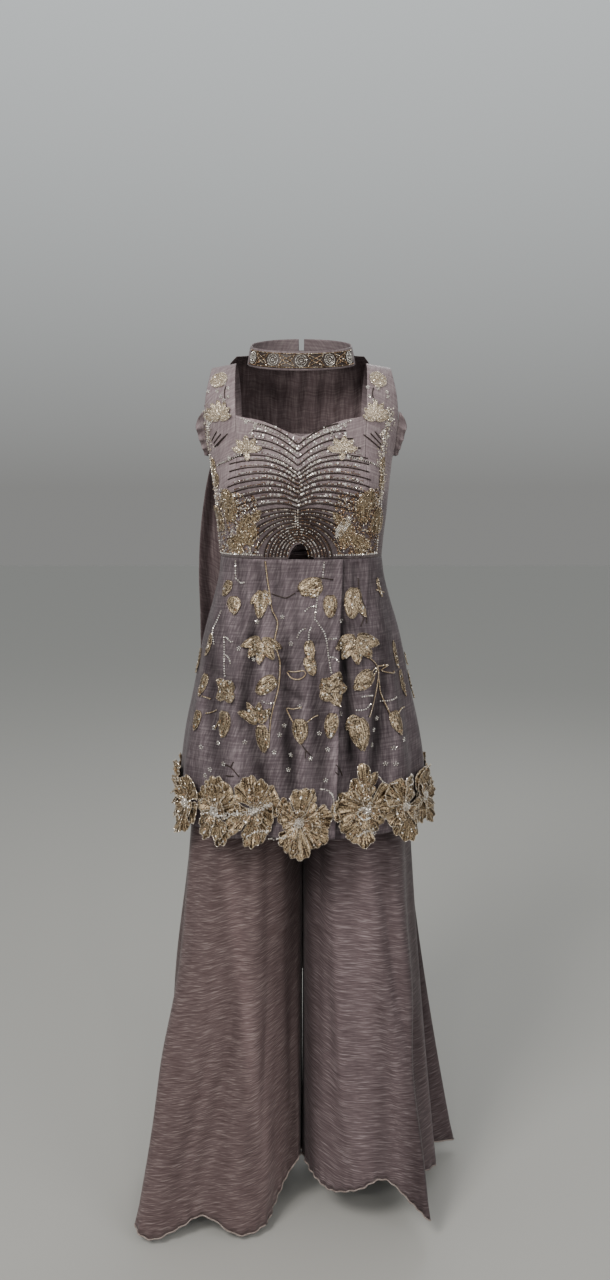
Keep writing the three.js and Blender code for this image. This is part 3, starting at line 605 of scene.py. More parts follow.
scarfSilk = crushedSilk("scarf_silk", {
    "lean": 84, "streak": (30, 260), "broadLean": 88, "broad": (5, 28), "broadAmount": 0.5,
    "slubLean": 2, "slub": 0.4, "rough": 0.48, "stops": (0.36, 0.5, 0.68),
    "tones": ((80, 67, 68), (95, 82, 84), (120, 108, 107)),
    "bump": 0.45, "sheen": 0.12, "metallic": 0.1,
})
leafTissue = petalTissue("leaf_tissue", ((24, 18, 13), (74, 60, 44), (172, 154, 128)))
goldTissue = petalTissue("gold_tissue", ((34, 25, 18), (86, 68, 49), (186, 165, 134)))
paleTissue = petalTissue("pale_tissue", ((104, 88, 72), (166, 148, 126), (228, 212, 190)))
silverBead = metalWork("silver_bead", (182, 174, 164), (255, 252, 246), 0.16, metallic=0.45)
goldBead = metalWork("gold_bead", (112, 92, 68), (226, 210, 186), 0.2, metallic=0.6)
brownBead = metalWork("brown_bead", (70, 50, 36), (160, 128, 98), 0.3, metallic=0.6)
paleBead = metalWork("pale_bead", (160, 144, 122), (250, 240, 224), 0.18, metallic=0.45)
darkCord = metalWork("dark_cord", (26, 17, 14), (60, 43, 34), 0.5, metallic=0.2)
goldThread = metalWork("gold_thread", (104, 82, 58), (196, 172, 138), 0.32, metallic=0.6)
print("materials made")


def grid(columns, rows):
    v, u = np.mgrid[0:1:(rows + 1) * 1j, 0:1:(columns + 1) * 1j]
    return u, v


def paint(piece, values):
    layer = piece.data.attributes.new("paint", "FLOAT", "POINT")
    layer.data.foreach_set("value", np.asarray(values, np.float32).reshape(-1))


def hang(piece, node, slotName, flat, held, restsOn, area=None):
    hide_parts(node)
    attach(piece, "root")


# Bodice panels: share runs across between two seams and the height falls from the neck to the waist.
def panelAngle(height, face):
    return angleAt(valueAt(panelSeams, height, face), valueAt(torso, height, "halfWidth"))


def armholeAngle(height):
    above = angleAt(valueAt(armholeEdge, height, "out"), valueAt(torso, height, "halfWidth"))
    return np.where(height <= 1300, math.pi / 2, above)


def neckHeight(share):
    side = np.abs(share)
    return mix(1329, 1363, side**0.9) + 5 * np.sin(math.pi * side) ** 2


bodiceFront = {"columns": 110, "rows": 84, "flat": (0.245, 0.225), "area": 0.0415}


def bodiceFrontPoints():
    u, v = grid(bodiceFront["columns"], bodiceFront["rows"])
    share = 2 * u - 1
    nearKey = np.maximum(1 - (share * 80 / 15) ** 2, 0)
    foot = waistSeam + 0.15 + 24 * nearKey**0.8
    height = mix(neckHeight(share), foot, v)
    points = torsoPoint(share * (panelAngle(height, "front") - 0.0015), height)
    return points


bodiceFrontCloth = clothSheet("bodice_front_cloth", bodiceFrontPoints(), litBodiceSilk)


# How far a place lies from the foot of the keyhole, in the bead arches' own measure.
def archAt(x, height):
    return np.hypot((x - keyholeMiddle) / 1.02, height - waistSeam)


# The ground of the bead rows is darker: a little above the bust, more in the arches at the waist,
# most on their right half.
def rowsShade(points):
    x, height = points[..., 0], points[..., 2]
    inside = smooth(-np.abs(x - keyholeMiddle), -104, -84)
    total = -0.4 * inside * (1 - smooth(height, 1256, 1300))
    arch = archAt(x, height)
    rightHalf = 0.16 * (1 - smooth(arch, 70, 84)) * smooth(x, -4, 10) * smooth(arch, 30, 44)
    total -= 0.14 * (1 - smooth(arch, 76, 90)) + rightHalf
    return total


paint(bodiceFrontCloth, rowsShade(bodiceFrontPoints()))
hang(bodiceFrontCloth, "bodice_front", "top_cloth", bodiceFront["flat"], "stretched",
     ["side_front_left", "side_front_right"], bodiceFront["area"])

bodiceBack = {"columns": 70, "rows": 44, "flat": (0.21, 0.225), "area": 0.0385,
              "creases": [(-40, 1160, 62, 90, 7, -1.6), (36, 1172, -58, 80, 7, -1.4), (10, 1150, 84, 110, 5, -1.2),
                          (-52, 1210, 50, 70, 8, -1.2), (58, 1222, -48, 70, 8, -1.1), (0, 1290, 88, 120, 9, 1.2)]}


def bodiceBackPoints():
    u, v = grid(bodiceBack["columns"], bodiceBack["rows"])
    share = 1 - 2 * u
    height = mix(mix(1345, 1363, share**2), waistSeam + 0.15, v)
    points = torsoPoint(math.pi - share * (panelAngle(height, "back") - 0.0015), height)
    return raised(points, creases(bodiceBack["creases"], points[..., 0], height))


bodiceBackCloth = clothSheet("bodice_back_cloth", bodiceBackPoints(), litBodiceSilk)
hang(bodiceBackCloth, "bodice_back", "top_cloth", bodiceBack["flat"], "stretched",
     ["side_back_left", "side_back_right"], bodiceBack["area"])

sidePanel = {"columns": 30, "rows": 60, "flat": (0.115, 0.345), "area": 0.0245}


def sidePanelPoints(side, face):
    u, v = grid(sidePanel["columns"], sidePanel["rows"])
    sign = -1 if side == "left" else 1
    front = face == "front"
    share = u if (sign > 0) == front else 1 - u
    strap = 6 / 14
    height = np.where(v < strap, mix(1452, 1363, (v / strap) ** 1.5),
                      mix(1363, waistSeam + 0.15, (v - strap) / (1 - strap)))
    turn = mix(panelAngle(height, face) + 0.0015, armholeAngle(height), share)
    points = torsoPoint(sign * np.where(front, turn, math.pi - turn), height)
    limit = np.minimum(points[..., 1], -0.2) if front else np.maximum(points[..., 1], 0.2)
    points[..., 1] = limit
    return points


for side in ("left", "right"):
    for face in ("front", "back"):
        points = sidePanelPoints(side, face)
        piece = clothSheet(f"side_{face}_{side}_cloth", points, litBodiceSilk)
        paint(piece, (-0.3 if side == "left" else -0.46) * (1 - smooth(points[..., 2], 1215, 1265)))
        hang(piece, f"side_{face}_{side}", "top_cloth", sidePanel["flat"], "stretched",
             [f"bodice_{face}"], sidePanel["area"])

frill = {"columns": 180, "rows": 9, "top": 1372, "low": 1304, "reach": 17, "waves": 9, "wave": 2.4, "gap": 0.5,
         "flat": (0.18, 0.017), "area": 0.0027}


# The frill stands out round the armhole and its edge waves from side to side with a sine.
def frillPoints(side):
    u, v = grid(frill["columns"], frill["rows"])
    share = u if side == "left" else 1 - u
    along = 2 * share - 1
    height = mix(frill["low"], frill["top"], np.abs(along) ** 1.4)
    turn = armholeAngle(height)
    root = torsoPoint(np.where(along < 0, turn, math.pi - turn), height)
    taper = 1 - 0.7 * smooth(np.abs(along), 0.78, 1)
    reach = frill["reach"] * v * (0.35 + 0.65 * np.abs(along)) * taper
    root[..., 0] += frill["gap"] + reach
    root[..., 1] += frill["wave"] * v * np.sin(along * math.pi * frill["waves"])
    root[..., 2] += -0.3 * reach + 0.5 * frill["wave"] * v * np.cos(along * math.pi * frill["waves"])
    if side == "left":
        root[..., 0] *= -1
    return root


for side in ("left", "right"):
    points = frillPoints(side)
    piece = clothSheet(f"armhole_frill_{side}_cloth", points, litBodiceSilk, 0.6)
    u, v = grid(frill["columns"], frill["rows"])
    # Painted light and shade on the frill: darker overall, lighter and darker in step with its waves, and lighter
    # towards its outer edge.
    paint(piece, -0.28 + 0.16 * np.sin((2 * u - 1) * math.pi * frill["waves"]) * v + 0.1 * v)
    hang(piece, f"armhole_frill_{side}", "top_cloth", frill["flat"], "gathered",
         [f"side_front_{side}", f"side_back_{side}"], frill["area"])
print("bodice made")

# Creases of the peplum: x, height, lean, length, half width, and how far out the middle stands.
peplumCreases = {
    "front": [
        (-100, 1090, 4, 110, 5, -2.2), (-84, 1095, 3, 90, 4, 1.8), (-68, 1085, 2, 130, 5, -2.4),
        (-38, 1092, -2, 110, 5, -2.0), (-24, 1088, -1, 120, 4, 1.6), (-6, 1080, 1, 140, 5, -2.2),
        (30, 1096, 2, 90, 4, 1.6), (52, 1090, 4, 110, 4, -1.8), (86, 1092, -3, 100, 5, -2.4),
        (104, 1086, -4, 110, 5, 2.0), (-118, 1050, 8, 150, 7, 2.2), (-86, 960, -6, 260, 9, -5),
        (-55, 930, 5, 220, 10, 4), (-26, 900, 2, 320, 9, -5.5), (4, 860, -4, 260, 10, 3.5),
        (24, 900, 3, 240, 9, -4.5), (-70, 830, 12, 160, 10, -5), (-104, 800, -5, 160, 11, 4.5),
        (-12, 800, 8, 150, 9, -4), (72, 930, 3, 260, 10, -5.5), (104, 900, -5, 260, 11, 4.5),
        (122, 860, -8, 220, 10, -5), (60, 840, -3, 180, 10, 4), (88, 800, 6, 150, 10, -4.5),
        (-140, 900, 6, 240, 11, -4.5), (-158, 820, 4, 180, 10, 4), (148, 800, -6, 170, 10, 4),
        (-46, 985, 70, 60, 5, -2.2), (-90, 1010, -62, 60, 5, -2.2), (86, 1030, 60, 60, 5, -2.2),
        (-120, 950, 66, 60, 6, -2.5), (20, 1010, -70, 60, 5, -2), (112, 990, -58, 60, 6, -2.2),
        (-8, 930, 60, 60, 5, -2.4), (74, 880, -64, 60, 6, -2.4),
    ],
    "back": [
        (-104, 1092, 4, 100, 5, -2.2), (-80, 1094, 3, 90, 4, 1.8), (-56, 1088, 2, 120, 5, -2.4),
        (-30, 1092, -2, 110, 5, -2), (-8, 1086, 1, 120, 4, 1.6), (18, 1090, -1, 120, 5, -2.2),
        (44, 1094, 2, 90, 4, 1.6), (70, 1088, -3, 110, 5, -2.2), (96, 1090, -4, 100, 5, 1.8),
        (-120, 940, 6, 260, 10, -5), (-84, 900, 5, 240, 10, 4), (-46, 920, 3, 260, 9, -5),
        (-12, 880, -3, 260, 10, 4), (26, 910, 2, 250, 9, -5), (62, 880, -4, 240, 10, 4),
        (98, 920, -5, 260, 10, -5), (134, 870, -7, 220, 10, 4), (-150, 850, 6, 200, 10, 4),
        (-30, 1000, 66, 60, 5, -2.2), (52, 1020, -60, 60, 5, -2.2), (-92, 1010, 62, 60, 6, -2.4),
        (108, 1000, -64, 60, 6, -2.4), (8, 960, 70, 60, 5, -2),
    ],
}


def peplumRelief(x, height, back=False):
    return creases(peplumCreases["back" if back else "front"], x, height)


def peplumPoints(panel, columns, rows):
    u, v = grid(columns, rows)
    hem = peplum["hem"] + 3 * np.cos(u * math.pi * 8)
    height = mix(waistSeam - 0.15, hem, v)
    points = peplumPoint(panel, u, height)
    if panel == "back":
        points[..., 1] = np.maximum(points[..., 1], 0.2)
    else:
        points[..., 1] = np.minimum(points[..., 1], -0.2)
    ease = smooth(v, 0, 0.02)
    return raised(points, ease * peplumRelief(points[..., 0], height, panel == "back"))


# Shade painted in the creases: a ridge is lighter and a trough darker, and listed hollows and
# lights lie at (x, height) with their half widths.
peplumLights = [
    (-74, 1000, 12, 60, -0.34), (-88, 905, 14, 50, -0.28), (-46, 1020, 16, 60, 0.16),
    (-58, 800, 10, 40, -0.26), (-18, 860, 16, 60, -0.12), (66, 990, 8, 130, -0.08),
    (76, 840, 10, 90, -0.14), (52, 900, 6, 150, 0.22), (110, 905, 16, 60, -0.16), (-120, 905, 14, 90, 0.12),
    (20, 1080, 34, 40, 0.14), (-104, 1090, 26, 36, 0.1), (100, 1100, 24, 40, -0.2),
    (130, 1000, 16, 80, -0.18), (-142, 960, 14, 90, -0.18), (2, 950, 34, 110, -0.34),
    (150, 860, 20, 70, -0.2), (-20, 760, 60, 26, 0.04), (104, 950, 34, 130, -0.4), (30, 850, 22, 60, -0.06),
    (120, 780, 40, 30, -0.1),
]


def peplumShade(panel, points):
    x, height = points[..., 0], points[..., 2]
    total = 0.085 * peplumRelief(x, height, panel == "back")
    edge = mix(peplum["wrapWaist"], peplum["wrapHem"], (waistSeam - height) / (waistSeam - peplum["hem"]))
    # Painted highlight along the wrap's free edge with painted shade just inside it, and the wrap's painted shadow
    # on the under panel beside its edge, with a faint light further out.
    if panel == "wrap":
        total = total + 0.2 * np.exp(-((x - edge + 6) / 5) ** 2) - 0.14 * np.exp(-((x - edge + 20) / 8) ** 2)
    if panel == "under":
        shadow = 0.42 * np.exp(-(np.maximum(x - edge, 0) / 13) ** 2)
        total = total - shadow + 0.12 * np.exp(-((x - edge - 30) / 9) ** 2)
    if panel != "back":
        for middle, level, wide, tall, amount in peplumLights:
            total = total + amount * np.exp(-((x - middle) / wide) ** 2 - ((height - level) / tall) ** 2)
    return total


for panel, columns, rows, flat, area in (
    ("wrap", 150, 80, (0.45, 0.435), 0.172),
    ("under", 110, 80, (0.33, 0.435), 0.125),
    ("back", 200, 60, (0.6, 0.435), 0.22),
):
    points = peplumPoints(panel, columns, rows)
    piece = clothSheet(f"peplum_{panel}_cloth", points, topSilk)
    paint(piece, peplumShade(panel, points))
    hang(piece, f"peplum_{panel}", "top_cloth", flat, "gathered",
         ["bodice_back"] if panel == "back" else ["bodice_front"], area)
print("peplum made")

legCreases = {
    "left": [
        (-188, 560, -14, 700, 16, -5), (-150, 520, -8, 760, 15, 5), (-112, 480, -5, 700, 14, -5),
        (-78, 560, -2, 620, 13, 4), (-52, 420, 0, 560, 11, -5), (-28, 520, 2, 700, 10, 4),
        (-214, 360, -18, 460, 14, 4), (-130, 300, -10, 380, 12, -4), (-90, 250, -6, 320, 12, 4),
        (-170, 240, -14, 300, 12, -4), (-60, 260, -2, 260, 9, -4), (-20, 330, 2, 420, 7, -4),
    ],
    "right": [
        (26, 520, 0, 620, 9, -5), (56, 560, 3, 640, 12, 4), (88, 500, 5, 640, 13, -5), (122, 560, 8, 620, 13, 4),
        (150, 500, 9, 620, 13, -5), (176, 460, 11, 520, 12, 4), (44, 340, 1, 320, 9, -4), (104, 320, 6, 320, 12, 4),
        (136, 300, 9, 320, 11, -4), (186, 320, 12, 320, 12, -4), (70, 280, 3, 260, 10, 3.5),
    ],
}
legPanel = {"front": (124, 100), "back": (104, 80), "flat": (0.5, 1.09),
            "area": {"left_front": 0.39, "left_back": 0.37, "right_front": 0.34, "right_back": 0.39}}


# Leg cloth: the panel's own surface, raised by its creases, with a small lettuce wave at its hem.
# The inseams lean over each other by 1.8 mm, to the left in front and to the right behind.
def legPoints(side, face):
    columns, rows = legPanel[face]
    u, v = grid(columns, rows)
    mirrored = (side == "left") == (face == "back")
    share = mix(0.0007, 0.9993, 1 - u if mirrored else u)
    points = legPoint(side, face, share, v)
    relief = creases(legCreases[side], points[..., 0], points[..., 2])
    if face == "back":
        relief = -0.9 * relief
    ends = smooth(v, 0.12, 0.3) * smooth(share, 0, 0.04) * (1 - smooth(share, 0.96, 1))
    points = raised(points, relief * ends)
    wave = np.sin(share * 150) * smooth(v, 0.965, 1)
    points = raised(points, 1.6 * wave * smooth(share, 0, 0.03) * (1 - smooth(share, 0.97, 1)))
    sign = -1 if side == "left" else 1
    points[..., 0] = sign * np.maximum(sign * points[..., 0], 0.4)
    points[..., 0] += mix(-1.8, 1.8, smooth(points[..., 1], -90, -20)) * np.exp(-(points[..., 0] / 8) ** 2)
    return points


# Painted light and shade of the folds: soft bands at x with a half width, fading along the leg
# between two heights; the last number leans a band, in mm of x for each mm of height from 400.
legBands = {
    "left": [(-90, 13, 60, 660, 0.3, -0.12), (-56, 20, 60, 420, 0.2, -0.06), (-12, 24, 60, 760, -0.52, 0),
             (-114, 12, 120, 640, -0.1, -0.1),
             (-150, 20, 200, 600, 0.06, 0.1), (-190, 18, 120, 560, -0.08, 0.12), (-226, 20, 40, 400, 0.06, 0.14)],
    "right": [(104, 20, 120, 660, 0.2, 0), (62, 22, 120, 560, 0.12, 0), (10, 22, 60, 760, -0.5, 0),
              (136, 12, 60, 640, -0.14, 0),
              (160, 10, 100, 600, 0.08, 0), (200, 30, 20, 640, -0.42, 0)],
}


def legShade(side, face, points):
    x, height = points[..., 0], points[..., 2]
    total = np.zeros(x.shape)
    for middle, wide, low, high, amount, lean in legBands[side]:
        fade = smooth(height, low - 80, low + 40) * (1 - smooth(height, high - 40, high + 80))
        total += amount * np.exp(-((x - middle - lean * (height - 400)) / wide) ** 2) * fade
    # Painted shade: each leg darker towards its top under the peplum, more on the right, and the back panels darker
    # all over.
    total -= (0.22 if side == "left" else 0.32) * smooth(height, 540, 720)
    return total - (0.3 if face == "back" else 0)


for side in ("left", "right"):
    for face in ("front", "back"):
        points = legPoints(side, face)
        piece = clothSheet(f"palazzo_{face}_{side}_cloth", points, trouserLeft if side == "left" else trouserRight)
        paint(piece, legShade(side, face, points))
        hang(piece, f"palazzo_{face}_{side}", "trouser_cloth", legPanel["flat"], "hung",
             [f"waistband_{face}"], legPanel["area"][f"{side}_{face}"])


# The rolled edge of each leg's hem, a round cord that follows its lettuce wave.
hemEdges = []
for side in ("left", "right"):
    for face in ("front", "back"):
        hemEdges.append(legPoints(side, face)[-1, 1:-1] + [0, 0, 0.2])
rolledEdge = metalWork("rolled_edge", (112, 98, 94), (172, 158, 150), 0.5, metallic=0.1)
tubes("rolled_hems", hemEdges, 1.3, rolledEdge, 6)


def waistbandPoints(face):
    u, v = grid(120, 10)
    start = -90 if face == "front" else 90
    points = ringPoint(hips, np.radians(start + 180 * u), hips["bandTop"] - hips["bandDrop"] * v)
    points[..., 1] = np.minimum(points[..., 1], -0.2) if face == "front" else np.maximum(points[..., 1], 0.2)
    ruck = 0.5 * np.sin(u * 190) * np.sin(math.pi * v)
    return raised(points, ruck - 0.5)


for face in ("front", "back"):
    piece = clothSheet(f"waistband_{face}_cloth", waistbandPoints(face), trouserRight, 1.2)
    hang(piece, f"waistband_{face}", "trouser_cloth", (0.37, 0.038), "stretched", [f"palazzo_{face}_left"])
print("palazzo made")

scarfCloth = {"columns": 170, "rows": 80, "flat": (0.8, 1.27), "area": 0.62,
              "creases": [(-120, 900, 6, 700, 14, 4), (-60, 800, 3, 700, 12, -4), (10, 860, -2, 700, 12, 4),
                          (70, 780, -5, 700, 13, -4),
                          (120, 640, -6, 500, 13, 4), (-150, 560, 8, 400, 12, -4), (-20, 520, 2, 400, 12, -4)]}


def scarfPoints():
    u, v = grid(scarfCloth["columns"], scarfCloth["rows"])
    points = scarfPoint(1 - u, v)
    return raised(points, creases(scarfCloth["creases"], points[..., 0], points[..., 2]) * smooth(v, 0.3, 0.45))


scarfPiece = clothSheet("scarf_cloth", scarfPoints(), scarfSilk, 0.7)
hang(scarfPiece, "scarf", "scarf_cloth", scarfCloth["flat"], "gathered", ["choker_band"], scarfCloth["area"])


def chokerBandPoints():
    u, v = grid(200, 12)
    half = math.pi - math.radians(3)
    points = chokerPoint(mix(-half, half, u), 2 * v - 1)
    soft = 0.35 * np.sin(u * 230 + 5 * v) * smooth(np.abs(2 * u - 1), 0.4, 0.5)
    return raised(points, soft - 0.4 * (2 * v - 1) ** 6)


bandPiece = clothSheet("choker_band_cloth", chokerBandPoints(), litBodiceSilk, 1.4)
paint(bandPiece, np.full(chokerBandPoints().shape[:2], -0.34))
hang(bandPiece, "choker_band", "top_cloth", (0.48, 0.03), "stretched", ["scarf"])


def stripPoints():
    u, v = grid(150, 8)
    reach = math.radians(72)
    return chokerPoint(mix(-reach, reach, u), (2 * v - 1) * 23 / 30, 1.2)


stripPiece = clothSheet("choker_strip_cloth", stripPoints(), darkCord, 0.8)
hang(stripPiece, "choker_embroidery", "bead_embroidery", (0.2, 0.023), "stretched", ["choker_band"])
print("scarf and choker made")


# Places on the dressed peplum, with its creases: by x on the front, or by degrees round the hem.
def onFront(x, height, lift=0.0):
    x, height = np.broadcast_arrays(np.asarray(x, float), np.asarray(height, float))
    return peplumFront(x, height, lift + peplumRelief(x, height))


def onRound(degrees, height, lift=0.0):
    degrees, height = np.broadcast_arrays(np.asarray(degrees, float), np.asarray(height, float))
    base = peplumRound(degrees, height)[..., 0]
    behind = (degrees > 90) | (degrees < -90)
    relief = np.where(behind, peplumRelief(base, height, True), peplumRelief(base, height))
    return peplumRound(degrees, height, lift + relief)


def outwards(place, a, b):
    step = place(a, b, 1.0) - place(a, b, 0.0)
    return unit(step)


# Leaves. Each row: where it springs from (a, b), its direction in degrees, length, width, how far its
# tip rises, how deeply it is cupped and how strongly its edge is ruffled, in mm.
# Half width = W sin(pi s^0.8)^power along the length s; lift = start + rise s^1.3
# + cup t^2 sin(pi s) + ruffle sin(7 t + phase) s^1.6 across t from -1 to 1.
petalGrid = {"along": 12, "across": 10}


def petalSheets(rows, scale, start, power=0.5):
    rows = np.asarray(rows, float)
    s = np.linspace(0.03, 0.985, petalGrid["along"] + 1)[None, :, None]
    t = np.linspace(1, -1, petalGrid["across"] + 1)[None, None, :]
    a, b, turn, length, width, rise, cupped, ruffle = (rows[:, k][:, None, None] for k in range(8))
    turn = np.radians(turn)
    phase = a * 0.37 + b * 0.53 + turn * 2
    half = width / 2 * np.sin(math.pi * s**0.8) ** power
    crinkled = 1 + 0.05 * np.sin(9 * t + phase) * s
    along, over = length * s * crinkled, half * t
    goA = (np.cos(turn) * along - np.sin(turn) * over) * scale[0]
    goB = (np.sin(turn) * along + np.cos(turn) * over) * scale[1]
    lift = (start + rise * s**1.3 + cupped * t**2 * np.sin(math.pi * s) + ruffle * np.sin(7 * t + phase) * s**1.6
            + 0.5 * np.sin(13 * s + 5 * t + phase))
    return a + goA, b + goB, np.maximum(lift, 0.8)


# Broad gathered petals, each a sector with a scalloped outer edge. Each row: where it springs from
# (a, b), its direction and half spread in degrees, length, rise of the tip, depth of the pleats, scallops.
# radius = length s (1 - 0.22 t^4 - 0.09 s^5 (1 - |cos(n pi t / 2)|)), turned by spread t (0.45 + 0.55 s^0.5),
# lift = start + rise s^1.2 + 1.5 t s + pleat cos(n pi t) s + ruffle sin(5 s + 2.5 t) s^2.
fanGrid = {"along": 8, "across": 18, "ruffle": 2.8}


def fanSheets(rows, scale, start):
    rows = np.asarray(rows, float)
    s = np.linspace(0.05, 1, fanGrid["along"] + 1)[None, :, None]
    t = np.linspace(1, -1, fanGrid["across"] + 1)[None, None, :]
    a, b, turn, spread, length, rise, pleat, scallops = (rows[:, k][:, None, None] for k in range(8))
    phase = a * 0.31 + b * 0.47 + turn * 0.09
    scallop = 0.09 * s**5 * (1 - np.abs(np.cos(scallops * math.pi * t / 2)))
    edge = 1 - 0.22 * t**4 - scallop + 0.05 * np.sin(2.3 * t + phase) * s
    radius = length * s * edge
    way = np.radians(turn + spread * t * (0.45 + 0.55 * s**0.5))
    lift = (start + rise * s**1.2 + 1.5 * t * s + pleat * np.cos(scallops * math.pi * t) * s
            + fanGrid["ruffle"] * np.sin(5 * s + 2.5 * t + phase) * s**2)
    return a + np.cos(way) * radius * scale[0], b + np.sin(way) * radius * scale[1], np.maximum(lift, 0.8)


def petalMesh(name, places, lifts, place, material, thick=0.5):
    a, b = places
    points = place(a, b, lifts)
    count, rows, columns = points.shape[:3]
    index = np.arange(count * rows * columns).reshape(count, rows, columns)
    faces = np.stack([index[:, :-1, :-1], index[:, 1:, :-1], index[:, 1:, 1:], index[:, :-1, 1:]],
                     -1).reshape(-1, 4)
    normal = np.cross(points[:, 1, 0] - points[:, 0, 0], points[:, 0, 1] - points[:, 0, 0])
    if (normal * outwards(place, a[:, 0, 0], b[:, 0, 0])).sum(-1).mean() < 0:
        faces = faces[:, ::-1]
    piece = newObject(name, toMetres(points.reshape(-1, 3)), faces, material)
    which, s, t = np.meshgrid(np.arange(count), np.linspace(0, 1, rows), np.linspace(-1, 1, columns), indexing="ij")
    corners = faces.reshape(-1)
    layer = piece.data.uv_layers.new(name="petal_lengths")
    layer.data.foreach_set("uv", np.stack([(t + 3 * which).reshape(-1)[corners], s.reshape(-1)[corners]],
                                          -1).reshape(-1))
    wall = piece.modifiers.new("cloth_thickness", "SOLIDIFY")
    wall.thickness = thick / 1000
    wall.offset = 0
    return piece


# The area of all petals in square metres, each quad as half the cross product of its diagonals.
def petalArea(points):
    one = points[:, 1:, 1:] - points[:, :-1, :-1]
    two = points[:, 1:, :-1] - points[:, :-1, 1:]
    return float(np.linalg.norm(np.cross(one, two), axis=-1).sum() / 2e6)


# The beaded outline of each petal: points at equal steps along its edge.
def petalEdges(a, b, lift, place, spacing):
    edgeA = np.concatenate([a[:, :, 0], a[:, -1, 1:], a[:, -2::-1, -1]], 1)
    edgeB = np.concatenate([b[:, :, 0], b[:, -1, 1:], b[:, -2::-1, -1]], 1)
    edgeLift = np.concatenate([lift[:, :, 0], lift[:, -1, 1:], lift[:, -2::-1, -1]], 1)
    points, normals = [], []
    world = place(edgeA, edgeB, edgeLift + 0.7)
    out = outwards(place, edgeA, edgeB)
    for path, away in zip(world, out):
        lengths = lengthsOf(path)
        at = np.arange(0, lengths[-1], spacing)
        points.append(np.stack([np.interp(at, lengths, path[:, k]) for k in range(3)], -1))
        normals.append(np.stack([np.interp(at, lengths, away[:, k]) for k in range(3)], -1))
    return np.concatenate(points), np.concatenate(normals)


# Beaded veins from the root towards the edge, at some of the grid's columns.
def petalVeins(a, b, lift, place, columns, spacing):
    points, normals = [], []
    for column in columns:
        for pathA, pathB, pathLift in zip(a[:, 1:-2, column], b[:, 1:-2, column], lift[:, 1:-2, column]):
            path = place(pathA, pathB, pathLift + 0.7)
            lengths = lengthsOf(path)
            at = np.arange(spacing / 2, lengths[-1], spacing)
            points.append(np.stack([np.interp(at, lengths, path[:, k]) for k in range(3)], -1))
            normals.append(outwards(place, np.interp(at, lengths, pathA), np.interp(at, lengths, pathB)))
    return np.concatenate(points), np.concatenate(normals)


# Sequins sewn on a petal: seeded places inside its outline.
def petalSpots(a, b, lift, place, each):
    count, rows, columns = a.shape
    s = seed.uniform(0.15, 0.92, (count, each)) * (rows - 1)
    t = seed.uniform(0.1, 0.9, (count, each)) * (columns - 1)
    i, j = np.floor(s).astype(int), np.floor(t).astype(int)
    fs, ft = s - i, t - j
    which = np.arange(count)[:, None]

    def read(values):
        top = mix(values[which, i, j], values[which, i, j + 1], ft)
        return mix(top, mix(values[which, i + 1, j], values[which, i + 1, j + 1], ft), fs)

    spotA, spotB, spotLift = read(a), read(b), read(lift)
    return place(spotA, spotB, spotLift + 0.7).reshape(-1, 3), outwards(place, spotA, spotB).reshape(-1, 3)


beadShape = np.array([[1, 0, 0], [0, 1, 0], [-1, 0, 0], [0, -1, 0], [0, 0, 1], [0, 0, -1]], float)
beadFaces = np.array([[0, 1, 4], [1, 2, 4], [2, 3, 4], [3, 0, 4], [1, 0, 5], [2, 1, 5], [3, 2, 5], [0, 3, 5]])
sequinTurn = np.arange(6) * math.pi / 3
sequinShape = np.concatenate([np.stack([np.cos(sequinTurn), np.sin(sequinTurn), 0 * sequinTurn], -1),
                              [[0, 0, 0.16], [0, 0, -0.16]]])
sequinFaces = np.array([[k, (k + 1) % 6, 6] for k in range(6)] + [[(k + 1) % 6, k, 7] for k in range(6)])


# Axes for small shapes: the third follows the cloth's normal, tipped by a seeded amount.
def tipped(normals, tilt):
    normals = unit(normals + seed.normal(0, tilt, normals.shape))
    one = unit(np.cross(normals, seed.normal(0, 1, normals.shape)))
    return np.stack([one, np.cross(normals, one), normals], 1)


def beads(name, points, normals, material, radius):
    sizes = radius * (1 + seed.uniform(-0.12, 0.12, len(points)))
    scatter(name, beadShape, beadFaces, points, tipped(normals, 0.2), sizes, material,
            seed.uniform(-0.25, 0.3, len(points)))


def sequins(name, points, normals, material, radius, tilt):
    sizes = radius * (1 + seed.uniform(-0.25, 0.25, len(points)))
    scatter(name, sequinShape, sequinFaces, points, tipped(normals, tilt), sizes, material,
            seed.uniform(-0.35, 0.4, len(points)))


# The hem's flowers: degrees round the hem, height of the centre, half width, half height, turn and how
# far they stand off, as their solids. Each has five large petals, a few extra ones and three small ones.
hemFlowers = [
    (-81, 744, 34, 52, 90, 1.1), (-59, 744, 34, 54, 54, 1.2), (-36, 747, 34, 56, 90, 0.9),
    (-18.5, 753, 27, 60, 54, 0.7), (-1, 740, 42, 58, 90, 0.6), (25, 754, 36, 60, 90, 1.5),
    (47, 748, 35, 55, 54, 1.4), (71, 744, 36, 52, 90, 1.2), (94, 745, 37, 52, 30, 0.8),
    (119, 743, 37, 52, 12, 1.7), (144, 745, 37, 52, 44, 1.3), (167, 743, 37, 52, 20, 0.9),
    (189, 745, 37, 52, 50, 1.2), (212, 743, 37, 52, 8, 1.7), (237, 745, 37, 52, 36, 2.2),
    (258.5, 743, 28, 50, 26, 0.7),
]
